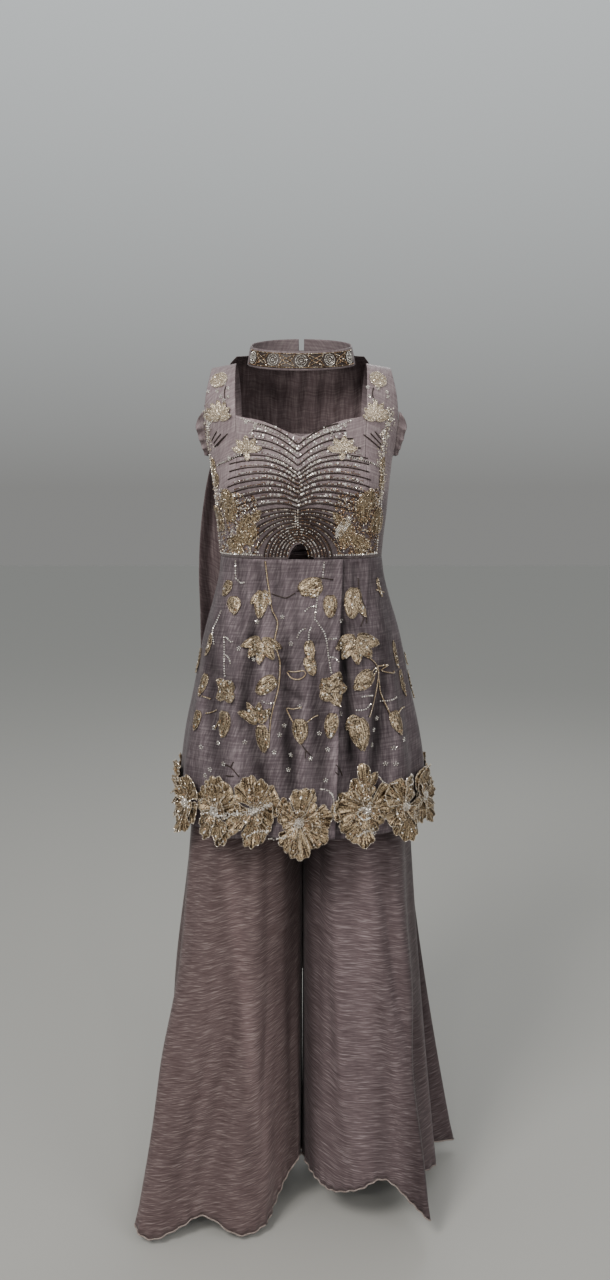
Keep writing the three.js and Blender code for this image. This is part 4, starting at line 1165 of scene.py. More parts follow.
# Extra petals of some flowers: direction, half spread, length, rise and scallops.
extraPetals = {
    1: [(150, 26, 1.1, 6, 2), (246, 24, 1.12, 7, 2)],
    2: [(100, 30, 1.12, 7, 3), (52, 28, 1.1, 5, 2), (300, 30, 1.06, 6, 3)],
    4: [(258, 44, 1.04, 9, 5), (92, 30, 1.04, 6, 4), (10, 22, 1.34, 3, 2), (334, 22, 1.26, 5, 2),
        (158, 26, 1.1, 4, 2)],
    3: [(20, 26, 1.3, 4, 2), (200, 26, 1.2, 6, 3), (300, 26, 1.1, 4, 2)],
    5: [(170, 24, 1.22, 4, 2), (215, 26, 1.1, 6, 3), (96, 15, 1.32, 5, 1), (70, 13, 1.12, 5, 1),
        (124, 22, 1.0, 4, 2)],
    6: [(280, 34, 1.1, 7, 4), (330, 22, 1.1, 5, 2), (112, 18, 1.0, 4, 1)],
    7: [(112, 44, 1.12, 6, 6), (188, 32, 1.0, 5, 3)],
}
outlineBeads, outlineNormals, spotPoints, spotNormals, heartPoints, heartNormals = [], [], [], [], [], []
veinPoints, veinNormals, leafBeads, leafNormals = [], [], [], []
for k, (at, height, wide, tall, turn, off) in enumerate(hemFlowers):
    perDegree = float(np.linalg.norm(peplumRound(at + 1, height) - peplumRound(at, height)))
    scale = (1.26 * wide / perDegree, 0.92 * tall)
    rows = []
    for n in range(5):
        reach = 0.96 + 0.12 * math.sin(2.1 * k + 2.3 * n)
        rows.append((at, height, turn + 72 * n + 6 * math.sin(k * 1.3 + n), 40 + 3 * math.sin(n + k), reach,
                     6 + 3 * math.sin(k + 2 * n), 1.5, 4))
    for way, spread, reach, rise, scallops in extraPetals.get(k, [(turn + 36, 26, 1.04, 8, 3),
                                                                  (turn + 180, 26, 1.02, 8, 3)]):
        rows.append((at, height, way, spread, reach, rise, 1.0, scallops))
    for n in range(3):
        rows.append((at, height, turn + 30 + 120 * n + 20 * math.sin(k), 40, 0.5 + 0.08 * math.sin(3 * n + k),
                     10, 1.0, 3))
    a, b, lift = fanSheets(rows, scale, off + 1.2)
    piece = petalMesh(f"petals_{k + 1}", (a, b), lift, onRound, goldTissue)
    cut = 3 * wide / 1000
    hang(piece, f"hem_flower_{k + 1}", "gold_tissue", (cut, petalArea(onRound(a, b, lift)) / cut), "gathered",
         ["peplum_back" if at > 90 else "peplum_wrap" if at < 12 else "peplum_under"])
    points, normals = petalEdges(a, b, lift, onRound, 2.5)
    outlineBeads.append(points)
    outlineNormals.append(normals)
    if at < 90:
        points, normals = petalVeins(a, b, lift, onRound, (4, 9, 14), 3.6)
        veinPoints.append(points)
        veinNormals.append(normals)
    points, normals = petalSpots(a, b, lift, onRound, 18)
    spotPoints.append(points)
    spotNormals.append(normals)
    rings = [(0, 1), (2.4, 6), (4.7, 11), (7.0, 17)]
    turns = np.concatenate([np.arange(n) * 2 * math.pi / n + r for r, n in rings])
    radii = np.concatenate([np.full(n, r) for r, n in rings])
    heartA, heartB = at + radii * np.cos(turns) / perDegree, height + radii * np.sin(turns)
    heartPoints.append(onRound(heartA, heartB, off + 8 - radii * 0.3))
    heartNormals.append(outwards(onRound, heartA, heartB))
print("hem flowers made")

# The vines on the front: each leaf or petal as (x, height, direction, length, width, rise, cup, ruffle).
# The first and last vine lie at the sides, where x is in degrees round the hem.
def leaf(x, height, half, long, lean=-90.0, rise=1.0, ruffle=0.5):
    c, s = math.cos(math.radians(lean)), math.sin(math.radians(lean))
    c *= 0.36 if abs(c) < 0.2 else 1
    return [(x - c * long / 2, height - s * long / 2, lean, long, 2 * half, rise, -1.2, ruffle)]


def blossom(x, height, wide, tall, count=5, turn=90.0):
    rows = []
    for n in range(count):
        way = turn + 360 * n / count
        reach = mix(wide, tall, abs(math.sin(math.radians(way)))) / 2
        rows.append((x, height, way, reach, reach * 0.95, 3.5, -1.5, 1.2))
    return rows


def fan(x, height, wide, tall, turn=-90.0, count=5):
    return [(x, height, turn + 34 * (n - (count - 1) / 2), tall * (1 - 0.05 * abs(n - 2)), wide / 2.1, 3, -1.2, 0.8)
            for n in range(count)]


vines = [
    [leaf(-64, 1000, 7, 36, -97), leaf(-61, 936, 8, 36, -95), leaf(-59, 880, 9, 32, -90),
     leaf(-83, 966, 8, 42, -94)],
    [leaf(-118, 1092, 6, 26, -110), leaf(-108, 1066, 10, 28, -85), blossom(-119, 934, 42, 40, 4, 45),
     leaf(-119, 884, 11, 40, -95)],
    [leaf(-62, 1070, 11, 42, -98, 1.5), leaf(-70, 1080, 6, 26, -130), leaf(-54, 1080, 6, 26, -60),
     fan(-62, 1016, 34, 36, -92),
     leaf(-54, 947, 12, 36, -140, 2), fan(-68, 888, 30, 34, 100, 4), leaf(-62, 866, 11, 42, -84, 2)],
    [leaf(13, 1098, 13, 38, 28, 1.5), leaf(22, 1092, 9, 26, -125), leaf(12, 1000, 8, 32, -84),
     leaf(14, 978, 9, 30, -72, 2),
     leaf(-2, 880, 12, 38, -88, 1)],
    [leaf(45, 1068, 11, 34, -90), blossom(50, 942, 44, 52, 5, 70), leaf(33, 945, 5, 12, -90),
     leaf(47, 888, 10, 38, -98)],
    [leaf(83, 1072, 13, 48, -96, 2), leaf(92, 1066, 6, 38, -64), fan(86, 1018, 42, 40, -88),
     leaf(97, 952, 13, 38, -140, 2),
     leaf(89, 872, 13, 50, -84, 2), leaf(80, 888, 7, 26, -120)],
    [leaf(55, 1092, 7, 30, -80), leaf(60.5, 984, 7, 44, -88, 1.5), leaf(47, 881, 11, 38, -82),
     leaf(65, 936, 6, 44, -84),
     leaf(84, 925, 7, 48, -86), leaf(82, 968, 6, 22, -80)],
]
vineCuts = [(0.018, 0.12), (0.026, 0.13), (0.03, 0.2), (0.026, 0.12), (0.03, 0.12), (0.032, 0.24), (0.018, 0.18)]
for k, (motifs, cut) in enumerate(zip(vines, vineCuts)):
    rows = [row for motif in motifs for row in motif]
    place, scale = (onRound, (0.36, 1)) if k in (0, 6) else (onFront, (1, 1))
    a, b, lift = petalSheets(rows, scale, 1.4)
    piece = petalMesh(f"vine_leaves_{k + 1}", (a, b), lift, place, leafTissue)
    hang(piece, f"vine_{k + 1}", "gold_tissue", cut, "laid", ["peplum_wrap" if k < 4 else "peplum_under"])
    points, normals = petalEdges(a, b, lift, place, 2.3)
    leafBeads.append(points)
    leafNormals.append(normals)
    points, normals = petalVeins(a, b, lift, place, (5,), 2.8)
    veinPoints.append(points)
    veinNormals.append(normals)
    points, normals = petalSpots(a, b, lift, place, 11)
    spotPoints.append(points)
    spotNormals.append(normals)

beads("outline_beads", np.concatenate(outlineBeads), np.concatenate(outlineNormals), paleBead, 1.0)
beads("leaf_outline_beads", np.concatenate(leafBeads), np.concatenate(leafNormals), goldBead, 0.95)
beads("vein_beads", np.concatenate(veinPoints), np.concatenate(veinNormals), goldBead, 0.8)
spotPoints, spotNormals = np.concatenate(spotPoints), np.concatenate(spotNormals)
kindOf = seed.uniform(0, 1, len(spotPoints))
for name, low, high, material, radius in (
    ("petal_sequins_brown", 0, 0.45, brownBead, 1.7), ("petal_sequins_pale", 0.45, 0.78, paleBead, 1.2),
    ("petal_sequins_silver", 0.78, 1, silverBead, 1.75),
):
    chosen = (kindOf >= low) & (kindOf < high)
    sequins(name, spotPoints[chosen], spotNormals[chosen], material, radius, 0.5)
beads("flower_hearts", np.concatenate(heartPoints), np.concatenate(heartNormals), silverBead, 1.2)
print("leaves and blossoms made")


# The bodice's embroidery. Each row runs round the keyhole: with t from upright,
# x = middle + rx k sin t and height = waist + ry k cos t, where
# k = (1 + notch (1 - exp(-(|t| / 15 degrees)^1.2))) / cos(t)^g makes the dip in the middle.
#
# A row gives rx, ry, notch, g, lowest x, highest x, what it is sewn with, and its beads' spacing or its
# cord's radius.
archRows = []
for k in range(6):
    archRows.append((17 + 5.4 * k, 27.5 + 4.0 * k, 0, 0, -60, 52, "silver", 2.2))
    archRows.append((19.8 + 5.4 * k, 29.5 + 4.0 * k, 0, 0, -60, 52, "cord", 0.85))
for k in range(6):
    dip = (0.02 * k, 0.09 * k)
    archRows.append((51 + 5.0 * k, 51.5 + 4.6 * k, *dip, -78, 64, ("silver", "gold")[k % 2], 2.2))
    archRows.append((53.5 + 5.0 * k, 53.8 + 4.6 * k, *dip, -78, 64, "cord", 0.95))
for k in range(8):
    dip = (0.17 + 0.02 * k, 0.45)
    archRows.append((80 + 6.9 * k, 80 + 6.9 * k, *dip, -112, 104, "cord", 1.05))
    archRows.append((82.6 + 6.9 * k, 82.6 + 6.9 * k, *dip, -108 + 2 * k, 100 - 2 * k, "silver", 2.3))
    archRows.append((84.6 + 6.9 * k, 84.6 + 6.9 * k, *dip, -60, 92, "scattered", 3.2))
for k in range(6):
    dip, sewn = (0.31, 0.45), "silver" if k < 2 else "scattered"
    archRows.append((135 + 10.5 * k, 135 + 10.5 * k, *dip, -112 + 11 * k, 104 - 11 * k, "cord", 1.0))
    archRows.append((138.5 + 10.5 * k, 138.5 + 10.5 * k, *dip, -106 + 11 * k, 98 - 11 * k, sewn, 3.0))
    archRows.append((142 + 10.5 * k, 142 + 10.5 * k, *dip, -104 + 11 * k, 96 - 11 * k, "scattered", 4.6))


# Places at equal steps along a line drawn on the cloth.
def evenSteps(place, a, b, lift, spacing):
    a, b = np.asarray(a, float), np.asarray(b, float)
    lengths = lengthsOf(place(a, b, lift))
    at = np.arange(spacing / 2, lengths[-1], spacing)
    return np.interp(at, lengths, a), np.interp(at, lengths, b)


# Points at equal steps along such a line, with the cloth's normals there.
def alongLine(place, a, b, lift, spacing):
    a, b = evenSteps(place, a, b, lift, spacing)
    return place(a, b, lift), outwards(place, a, b)


# A smooth line through a few given points, by Catmull-Rom pieces.
def drawnLine(points, steps=8):
    points = np.asarray(points, float)
    if len(points) == 2:
        return points[0] + (points[1] - points[0]) * np.linspace(0, 1, steps)[:, None]
    padded = np.concatenate([[2 * points[0] - points[1]], points, [2 * points[-1] - points[-2]]])
    i = np.repeat(np.arange(len(points) - 1), steps)
    t = np.tile(np.arange(steps) / steps, len(points) - 1)[:, None]
    a, b, c, d = (padded[i + k] for k in range(4))
    line = b + 0.5 * t * (c - a + t * (2 * a - 5 * b + 4 * c - d + t * (3 * (b - c) + d - a)))
    return np.concatenate([line, points[-1:]])


rowBeads = {"silver": [], "gold": [], "brown": [], "scattered": []}
rowNormals = {kind: [] for kind in rowBeads}
cordPaths, cordRadii = [], []
for rx, ry, notch, g, low, high, kind, size in archRows:
    t = np.radians(np.arange(-89.5, 90, 1.0))
    k = (1 + notch * (1 - np.exp(-(np.abs(np.degrees(t)) / 15) ** 1.2))) / np.cos(t) ** g
    x = keyholeMiddle + rx * k * np.sin(t)
    height = waistSeam + ry * k * np.cos(t)
    neck = neckHeight(np.clip(x / 101, -1, 1))
    keep = (x > low) & (x < high) & (height > waistSeam + 3) & (height < neck - 3)
    x, height = x[keep], height[keep]
    if len(x) < 4:
        continue
    if kind == "cord":
        cordPaths.append(onTorso(x, height, 0.7))
        cordRadii.append(size)
        continue
    x, height = evenSteps(onTorso, x, height, 1.1, size)
    if kind == "scattered":
        keep = seed.uniform(0, 1, len(x)) < 0.55
        x, height = x[keep], height[keep]
    points, normals = onTorso(x, height, 1.1), outwards(onTorso, x, height)
    brownShare = np.where((x > keyholeMiddle + 4) & (rx > 38) & (rx < 78), 0.72, 0.5 if rx < 125 else 0.1)
    browner = seed.uniform(0, 1, len(x)) < brownShare
    for sewn, chosen in ((kind, ~browner), ("brown", browner)):
        rowBeads[sewn].append(points[chosen])
        rowNormals[sewn].append(normals[chosen])
beads("row_beads_silver", np.concatenate(rowBeads["silver"]), np.concatenate(rowNormals["silver"]),
      silverBead, 1.15)
beads("row_beads_gold", np.concatenate(rowBeads["gold"]), np.concatenate(rowNormals["gold"]), paleBead, 1.1)
beads("row_beads_brown", np.concatenate(rowBeads["brown"]), np.concatenate(rowNormals["brown"]), brownBead, 1.1)
sequins("row_sequins", np.concatenate(rowBeads["scattered"]), np.concatenate(rowNormals["scattered"]),
        silverBead, 1.6, 0.3)
tubes("bodice_cords", cordPaths, cordRadii, darkCord, 4)

# Leaves, blossoms and lines sewn on the bodice and its straps, as the peplum's.
sideTissue = (
    [(x, height, turn, length, width, 1.4, -1.0, 0.5) for x, height, turn, length, width in (
        (-130, 1180, 100, 42, 20), (-112, 1196, 84, 44, 22), (-98, 1176, 60, 38, 18),
        (-118, 1158, 28, 40, 20), (-84, 1160, 70, 36, 16), (-100, 1216, 110, 34, 17),
        (-124, 1216, 74, 34, 16), (-78, 1196, 52, 26, 12), (-92, 1150, 150, 28, 14),
        (118, 1178, 84, 42, 20), (98, 1196, 100, 44, 22), (82, 1172, 120, 36, 17), (106, 1158, 150, 40, 20),
        (72, 1158, 112, 30, 15), (86, 1214, 68, 34, 17), (110, 1216, 104, 34, 16), (64, 1194, 128, 24, 12),
        (84, 1150, 28, 28, 14), (-139, 1272, 96, 26, 8), (-136, 1250, 82, 24, 8), (126, 1272, 84, 26, 8),
        (127, 1248, 98, 24, 8),
    )]
)
frontTissue = (
    [(x, height, turn, length, width, 2.0, -1.2, 0.5) for x, height, turn, length, width in (
        (-85, 1307, 128, 22, 11), (-85, 1307, 90, 24, 11), (-84, 1308, 52, 22, 11), (-82, 1308, 12, 22, 10),
        (-88, 1308, 168, 18, 10), (-85, 1306, -70, 13, 9), (65, 1307, 52, 22, 11), (65, 1307, 88, 24, 11),
        (64, 1308, 126, 22, 11), (62, 1308, 170, 22, 10), (68, 1308, 14, 18, 10), (65, 1306, 250, 13, 9),
    )]
    + [(-128, 1358, turn, long, 11, 2.4, -1.2, 0.6)
       for turn, long in ((14, 21), (44, 24), (68, 27), (92, 29), (116, 27), (140, 24), (168, 21))]
    + [(115, 1357, turn, long, 11, 2.4, -1.2, 0.6)
       for turn, long in ((12, 21), (40, 24), (66, 27), (90, 29), (114, 27), (138, 24), (166, 21))]
    + [(-130, 1424, turn, 13.5, 15, 1.2, -0.8, 0.5) for turn in range(0, 360, 60)]
    + [(121, 1423, turn, 13.5, 15, 1.2, -0.8, 0.5) for turn in range(30, 390, 60)]
)
for name, rows, material, bead, radius, each in (
    ("side_leaves", sideTissue, goldTissue, goldBead, 0.95, 14),
    ("front_blossoms", frontTissue, paleTissue, paleBead, 0.75, 5),
):
    a, b, lift = petalSheets(rows, (1, 1), 1.0)
    tissue = petalMesh(name, (a, b), lift, onTorso, material, 0.4)
    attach(tissue, "root")
    petalArea(onTorso(a, b, lift)) / 0.12
    edgePoints, edgeNormals = petalEdges(a, b, lift, onTorso, 2.0)
    spots, spotNormal = petalSpots(a, b, lift, onTorso, each)
    beads(f"{name}_outline", edgePoints, edgeNormals, bead, radius)
    sequins(f"{name}_sequins", spots, spotNormal, bead, 1.2, 0.35)

# Rings of beads in the strap rosettes and bright beads on the bust blossoms and lotuses.
ringPoints, ringNormals = [], []
for x0, height0 in ((-130, 1424), (121, 1423)):
    for radius in (13.4, 8.0, 1.6):
        turn = np.linspace(0, 2 * math.pi, 30)
        points, normals = alongLine(onTorso, x0 + radius * np.cos(turn),
                                    height0 + radius * np.sin(turn), 2.0, 2.7)
        ringPoints.append(points)
        ringNormals.append(normals)
for x0, height0, wide, tall, count in ((-85, 1309, 9, 6, 26), (65, 1309, 9, 6, 26), (-128, 1359, 12, 3, 16),
                                       (115, 1358, 12, 3, 16)):
    turn, radius = seed.uniform(0, 2 * math.pi, count), np.sqrt(seed.uniform(0, 1, count))
    x, height = x0 + wide * radius * np.cos(turn), height0 + tall * radius * np.sin(turn)
    ringPoints.append(onTorso(x, height, 3.0))
    ringNormals.append(outwards(onTorso, x, height))
beads("rosette_beads", np.concatenate(ringPoints), np.concatenate(ringNormals), paleBead, 1.1)

# Dense sequins between the side leaves, thinner towards the middle.
denseSides = {"left": (-135, -66, 1146, 1252), "right": (50, 124, 1146, 1252)}
sidePoints, sideNormals = [], []
for side, (low, high, bottom, top) in denseSides.items():
    x = seed.uniform(low, high, 1500)
    height = seed.uniform(bottom, top, 1500)
    inward = (x - low) / (high - low) if side == "left" else (high - x) / (high - low)
    arch = archAt(x, height)
    keep = (seed.uniform(0, 1, 1500) < 1.15 - 0.55 * inward) & (arch > 62) & (height < 1252 - 14 * inward)
    sidePoints.append(onTorso(x[keep], height[keep], 1.1))
    sideNormals.append(outwards(onTorso, x[keep], height[keep]))
sidePoints, sideNormals = np.concatenate(sidePoints), np.concatenate(sideNormals)
kindOf = seed.uniform(0, 1, len(sidePoints)) + np.where(sidePoints[:, 0] > 0, 0.0, 0.22)
for name, low, high, material, radius in (
    ("side_sequins_brown", -1, 0.58, brownBead, 1.45), ("side_sequins_gold", 0.58, 0.9, goldBead, 1.3),
    ("side_sequins_silver", 0.9, 2, silverBead, 1.15),
):
    chosen = (kindOf > low) & (kindOf <= high)
    sequins(name, sidePoints[chosen], sideNormals[chosen], material, radius, 0.4)
sideVines = [
    [(-150, 1376), (-151, 1356), (-150, 1332), (-150, 1308), (-147, 1290), (-143, 1281), (-141, 1268),
     (-139, 1250), (-134, 1226)],
    [(136, 1374), (141, 1359), (134, 1338), (129, 1314), (124, 1292), (129, 1268), (126, 1246), (118, 1222)],
]
vinePoints, vineNormals = [], []
for line in sideVines:
    path = drawnLine(line, 30)
    wander = seed.normal(0, 3.2, (len(path) * 2, 2))
    path = np.repeat(path, 2, axis=0) + wander
    vinePoints.append(onTorso(path[:, 0], path[:, 1], 1.2))
    vineNormals.append(outwards(onTorso, path[:, 0], path[:, 1]))
sequins("side_vine_sequins", np.concatenate(vinePoints), np.concatenate(vineNormals), paleBead, 1.25, 0.4)
clusterX, clusterHeight = np.meshgrid(np.arange(-7, 8, 2.5), np.arange(-19, 20, 2.4))
clusterX, clusterHeight = clusterX.reshape(-1), clusterHeight.reshape(-1)
keep = (clusterX / 8) ** 2 + (clusterHeight / 20) ** 2 < 1
clusterX, clusterHeight = clusterX[keep], clusterHeight[keep]
c, s = math.cos(math.radians(-34)), math.sin(math.radians(-34))
x, height = 65 + c * clusterX - s * clusterHeight, 1190 + s * clusterX + c * clusterHeight
beads("silver_cluster", onTorso(x, height, 1.6), outwards(onTorso, x, height), silverBead, 1.5)
print("bodice embroidery made")

# Lines of beads and cord drawn on the bodice, the straps and the peplum.
bustStems = [
    [(-133, 1286), (-126, 1290), (-112, 1294), (-99, 1300), (-90, 1303)],
    [(70, 1302), (78, 1298), (92, 1294), (108, 1290), (122, 1284), (128, 1277)],
]
torsoLines = {
    "cord": bustStems + [
        [(-133, 1339), (-142, 1326)], [(-126, 1335), (-139, 1321)], [(-120, 1331), (-137, 1316)],
        [(-115, 1335), (-133, 1317)], [(115, 1338), (126, 1326)], [(108, 1335), (126, 1318)],
        [(103, 1329), (125, 1312)], [(97, 1333), (113, 1321)], [(-118, 1410), (-120, 1401), (-119, 1387)],
        [(113, 1407), (111, 1396), (115, 1385)],
    ],
    "pearl": bustStems + [
        [(-94, 1358), (-85, 1355), (-71, 1350), (-59, 1346), (-45, 1338), (-30, 1331), (-17, 1325)],
        [(78, 1354), (67, 1350), (56, 1345), (45, 1340), (34, 1336), (21, 1331), (6, 1325)],
        [(-71, 1352), (-72, 1344), (-77, 1335), (-74, 1324)], [(49, 1333), (40, 1341), (34, 1343)],
        [(-138, 1357), (-146, 1349), (-149, 1338), (-151, 1323)],
        [(-148, 1306), (-146, 1290), (-144, 1275), (-140, 1257)],
        [(133, 1357), (131, 1339), (129, 1326), (130, 1306), (129, 1288), (129, 1275), (131, 1264)],
        [(-5, 1219), (-5, 1188)], [(-9, 1217), (-9, 1190)],
        [(-139, 1240), (-137, 1210), (-135, 1180), (-133, 1150)],
        [(126, 1246), (127, 1211), (124, 1180), (122, 1150)], [(-132, 1146), (-100, 1146), (-60, 1146)],
        [(50, 1146), (90, 1146), (122, 1146)],
    ],
}
peplumLines = {
    "cord": [
        [(-58, 1137), (-54, 1105), (-51, 1087), (-47, 1061), (-39, 1041), (-43, 1013), (-36, 983), (-36, 958),
         (-39, 935), (-48, 899), (-52, 851)],
        [(-47, 1086), (-36, 1082), (-23, 1080), (-10, 1087)],
        [(-6, 1089), (6, 1105), (24, 1111), (50, 1108)], [(91, 1109), (93, 1090), (102, 1056), (104, 1038)],
        [(101, 1051), (94, 1034)], [(101, 990), (120, 969), (121, 947), (115, 922), (103, 896)],
        [(121, 962), (126, 934), (131, 920), (140, 893)], [(120, 970), (109, 964), (113, 957), (120, 968)],
        [(120, 970), (137, 970), (127, 963), (146, 956), (147, 959)],
        [(-1, 915), (-13, 912), (-24, 911), (-19, 900), (-13, 891)], [(25, 902), (16, 899), (7, 893)],
        [(2, 858), (7, 851), (15, 842)], [(7, 851), (6, 839)], [(52, 828), (61, 817), (65, 807)],
        [(51, 817), (59, 809)], [(-122, 822), (-107, 819), (-95, 805)], [(-107, 819), (-103, 828)],
        [(-115, 805), (-102, 806)],
    ],
    "gold": [
        [(-58, 1137), (-54, 1105), (-51, 1087), (-47, 1061), (-39, 1041), (-43, 1013), (-36, 983), (-36, 958),
         (-39, 935), (-48, 899), (-52, 851)],
        [(101, 990), (120, 969), (121, 947), (115, 922), (103, 896)],
        [(121, 962), (126, 934), (131, 920), (140, 893)],
        [(-1, 915), (-13, 912), (-24, 911), (-19, 900), (-13, 891)], [(25, 902), (16, 899), (7, 893)],
        [(-24, 966), (-16, 958), (-4, 957), (5, 964), (2, 970), (-10, 968), (-22, 968)],
        [(120, 970), (109, 964), (113, 957), (120, 968)],
        [(120, 970), (137, 970), (127, 963), (146, 956), (147, 959)],
        [(-156, 892), (-148, 895), (-140, 900)], [(-134, 884), (-142, 871)], [(-160, 918), (-150, 915)],
        [(119, 1088), (134, 1082)], [(150, 893), (158, 898), (168, 897)],
    ],
    "pearl": [
        [(-106, 1137), (-106, 1108)], [(-106, 1108), (-98, 1101), (-90, 1102)],
        [(-128, 1056), (-136, 1037), (-143, 1021), (-141, 1000)], [(-124, 1016), (-123, 983), (-122, 952)],
        [(-125, 1016), (-117, 1014), (-110, 1009), (-106, 1011)],
        [(-122, 988), (-115, 985), (-111, 979), (-111, 973)], [(36, 1137), (33, 1110)],
        [(29, 1105), (24, 1072), (21, 1046)], [(25, 1067), (14, 1066), (4, 1058)],
        [(8, 1034), (-1, 1029), (-7, 1017)], [(16, 1036), (12, 1026), (12, 1008)],
        [(23, 1046), (37, 1023), (42, 990), (46, 966)], [(37, 1018), (46, 1017), (57, 1018)],
        [(43, 990), (51, 989), (59, 981)], [(-62, 924), (-53, 919), (-41, 920)],
        [(-78, 906), (-65, 900), (-46, 905)], [(112, 927), (103, 928), (92, 927)],
        [(108, 916), (97, 908), (84, 907)], [(128, 915), (141, 915), (152, 919)],
    ],
}
lineCords, goldCords, pearlPoints, pearlNormals, linePoints, lineNormals = [], [], [], [], [], []
for lines, place in ((torsoLines, onTorso), (peplumLines, onFront)):
    for kind, drawn in lines.items():
        for line in drawn:
            path = drawnLine(line)
            if kind == "cord":
                lineCords.append(place(path[:, 0], path[:, 1], 0.8))
            elif kind == "gold":
                goldCords.append(place(path[:, 0] + 1.4, path[:, 1], 1.0))
                points, normals = alongLine(place, path[:, 0] + 1.2, path[:, 1], 2.0, 3.6)
                linePoints.append(points)
                lineNormals.append(normals)
            else:
                points, normals = alongLine(place, path[:, 0], path[:, 1], 1.1, 3.9)
                pearlPoints.append(points)
                pearlNormals.append(normals)
tubes("drawn_cords", lineCords, 0.9, darkCord)
tubes("gold_cords", goldCords, 1.1, goldThread)
beads("cord_beads", np.concatenate(linePoints), np.concatenate(lineNormals), paleBead, 1.0)
beads("pearl_lines", np.concatenate(pearlPoints), np.concatenate(pearlNormals), silverBead, 1.6)

# Small stars on the peplum and the straps, each of five beads round a sixth.
stars = [
    (-142, 872), (-160, 839), (-132, 851), (-120, 822), (-144, 808), (-152, 797), (-34, 871), (-27, 885),
    (-2, 916), (-42, 845), (-16, 841), (14, 838), (-20, 818), (28, 875), (40, 851), (37, 804), (124, 889),
    (117, 873), (112, 851), (145, 842), (160, 852), (135, 818), (147, 817), (-70, 1042), (-30, 1050),
    (-16, 1010), (-75, 985), (110, 1012), (64, 1044), (-98, 1000), (62, 902), (-88, 858),
]
strapStars = [
    (-148, 1405), (-132, 1403), (-114, 1406), (-114, 1392), (-126, 1393), (-121, 1415), (-121, 1387),
    (-150, 1362), (-148, 1352), (-147, 1330), (104, 1407), (106, 1393), (113, 1387), (135, 1402),
    (136, 1394), (121, 1406), (141, 1359), (137, 1350), (130, 1339), (137, 1331), (-85, 1352), (-71, 1346),
    (67, 1346), (56, 1340), (92, 1296), (-112, 1298),
]
turns = np.arange(6) * 2 * math.pi / 5
starPoints, starNormals = [], []
for places, place, reach in ((stars, onFront, 2.7), (strapStars, onTorso, 2.2)):
    centre = np.asarray(places, float)
    away = np.where(np.arange(6) < 5, reach, 0)
    x = (centre[:, :1] + away * np.cos(turns + 0.3)).reshape(-1)
    height = (centre[:, 1:] + away * np.sin(turns + 0.3)).reshape(-1)
    starPoints.append(place(x, height, 1.0))
    starNormals.append(outwards(place, x, height))
beads("bead_stars", np.concatenate(starPoints), np.concatenate(starNormals), silverBead, 1.35)
print("lines and stars made")

# Curved ropes and loops of silver beads over the hem's flowers: a line of (x, height), how far its beads
# spread and how many there are.
hemRopes = [
    ([(-122, 743), (-99, 749), (-75, 753), (-59, 759), (-44, 769)], 3.8, 190),
    ([(-150, 742), (-132, 746), (-118, 742)], 2.8, 36),
    ([(91, 758), (85, 749), (93, 740), (101, 743), (97, 757), (91, 758)], 1.3, 90),
    ([(121, 803), (130, 790), (145, 789)], 1.0, 30),
    ([(162, 799), (156, 786), (168, 781), (169, 794), (162, 799)], 1.0, 44),
    ([(24, 793), (38, 791), (46, 781), (48, 755)], 1.0, 44),
    ([(-52, 712), (-30, 716), (-12, 726)], 2.0, 36), ([(112, 716), (96, 722), (84, 716)], 2.4, 40),
    ([(-84, 712), (-68, 722), (-48, 724)], 2.4, 44),
]
ropePoints, ropeNormals = [], []
for line, spread, count in hemRopes:
    path = drawnLine(line, 24)
    at = seed.uniform(0, len(path) - 1, count)
    x = np.interp(at, np.arange(len(path)), path[:, 0]) + seed.normal(0, spread / 2, count)
    height = np.interp(at, np.arange(len(path)), path[:, 1]) + seed.normal(0, spread / 2, count)
    lift = 9 + 1.5 * spread * (1 - np.abs(seed.normal(0, 0.4, count)))
    ropePoints.append(onFront(x, height, lift))
    ropeNormals.append(outwards(onFront, x, height))
beads("hem_ropes", np.concatenate(ropePoints), np.concatenate(ropeNormals), silverBead, 1.2)

# The choker's strip: edge lines, five round rosettes 31 degrees apart and crossed, bent threads between.
def onChoker(degrees, across, lift=0.0):
    degrees, across = np.broadcast_arrays(np.asarray(degrees, float), np.asarray(across, float))
    return chokerPoint(np.radians(degrees), -across / 15, 1.3 + lift)


rosetteTurns = np.arange(-62, 63, 31)
chokerCords, chokerPoints, chokerNormals, crossPoints, crossNormals = [], [], [], [], []
for middle in rosetteTurns:
    for reach, spacing in ((8.8, 2.3), (5.6, 2.6), (1.8, 2.2)):
        turn = np.linspace(0, 2 * math.pi, 40)
        points, normals = alongLine(onChoker, middle + 0.66 * reach * np.cos(turn),
                                    reach * np.sin(turn), 0.8, spacing)
        chokerPoints.append(points)
        chokerNormals.append(normals)
for middle in rosetteTurns[:-1] + 15.5:
    for sign in (-1, 1):
        for bend in (-4, 4):
            line = drawnLine([(middle - 8.6, -9 * sign), (middle + bend, 0), (middle + 8.6, 9 * sign)])
            chokerCords.append(onChoker(line[:, 0], line[:, 1], 0.5))
            points, normals = alongLine(onChoker, line[:, 0], line[:, 1], 1.0, 2.6)
            crossPoints.append(points)
            crossNormals.append(normals)
for across in (-10.6, 10.6):
    line = np.linspace(-71, 71, 120)
    chokerCords.append(onChoker(line, across + 0 * line, 0.4))
    points, normals = alongLine(onChoker, line, across + 0 * line, 0.8, 2.3)
    crossPoints.append(points)
    crossNormals.append(normals)
tubes("choker_threads", chokerCords, 0.6, goldThread, 4)
beads("choker_beads_silver", np.concatenate(chokerPoints), np.concatenate(chokerNormals), silverBead, 1.15)
crossPoints, crossNormals = np.concatenate(crossPoints), np.concatenate(crossNormals)
brown = seed.uniform(0, 1, len(crossPoints)) < 0.6
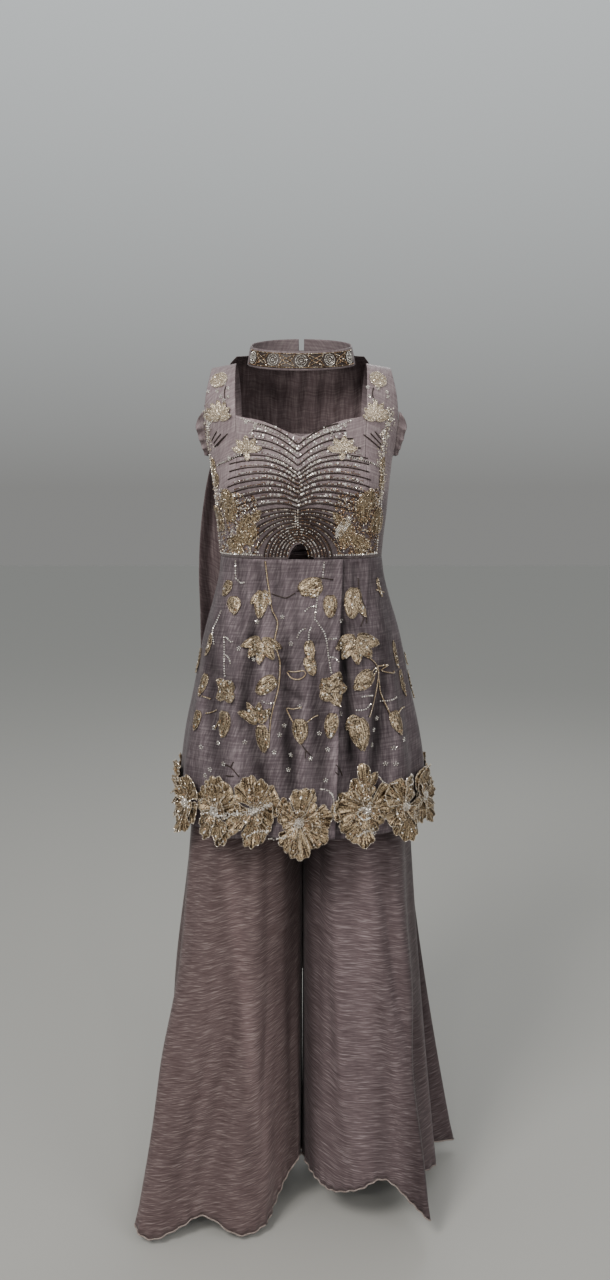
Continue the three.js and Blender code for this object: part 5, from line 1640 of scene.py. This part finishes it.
beads("choker_beads_brown", crossPoints[brown], crossNormals[brown], brownBead, 1.0)
beads("choker_beads_gold", crossPoints[~brown], crossNormals[~brown], paleBead, 1.0)
print("choker embroidery made")


# soft studio light: a large key from the upper left, a fill from the right, a back light and a pale floor
floorMesh = bpy.data.meshes.new("floor")
floorMesh.from_pydata([(-14, -14, -1.4502), (14, -14, -1.4502), (14, 14, -1.4502), (-14, 14, -1.4502)], [],
                      [(0, 1, 2, 3)])
floorPaint = bpy.data.materials.new("pale_floor")
floorPaint.use_nodes = True
floorPaint.node_tree.nodes["Principled BSDF"].inputs["Base Color"].default_value = linear(176, 175, 171)
floorPaint.node_tree.nodes["Principled BSDF"].inputs["Roughness"].default_value = 0.7
floorMesh.materials.append(floorPaint)
floor = bpy.data.objects.new("floor", floorMesh)
bpy.context.collection.objects.link(floor)


def areaLight(name, place, aim, size, power, colour=(1, 1, 1)):
    data = bpy.data.lights.new(name, "AREA")
    data.shape = "DISK"
    data.size = size
    data.energy = power
    data.color = colour
    lamp = bpy.data.objects.new(name, data)
    bpy.context.collection.objects.link(lamp)
    lamp.location = place
    away = np.array(place) - np.array(aim)
    flat = math.hypot(away[0], away[1])
    lamp.rotation_euler = (math.atan2(flat, away[2]), 0, math.atan2(away[0], -away[1]))


areaLight("key_light", (-1.5, -2.1, 1.9), (0, 0, -0.5), 1.2, 78, (1, 0.97, 0.93))
areaLight("fill_light", (2.0, -1.7, 0.5), (0, 0, -0.7), 1.6, 16, (1, 0.97, 0.94))
areaLight("back_light", (0.7, 2.4, 1.4), (0, 0, -0.5), 1.6, 20)
for k, place in enumerate(((-0.5, -2.3, 0.6), (0.7, -2.2, 0.9), (0.25, -2.4, -0.2), (-0.9, -1.9, 0.1))):
    areaLight(f"sparkle_{k + 1}", place, (0, 0, -0.4), 0.12, 4, (1, 0.96, 0.9))
world = bpy.data.worlds.new("studio")
bpy.context.scene.world = world
world.use_nodes = True
sky = world.node_tree
direction = addNode(sky, "ShaderNodeTexCoord", (-900, 0))
parts = addNode(sky, "ShaderNodeSeparateXYZ", (-700, 0))
sky.links.new(direction.outputs["Generated"], parts.inputs["Vector"])
wall = rampOf(sky, (-500, 0),
              [(0.0, linear(160, 160, 158)), (0.42, linear(246, 251, 252)), (1.0, linear(176, 176, 174))])
sky.links.new(parts.outputs["Z"], wall.inputs["Fac"])
sky.links.new(wall.outputs["Color"], sky.nodes["Background"].inputs["Color"])
sky.nodes["Background"].inputs["Strength"].default_value = 0.7
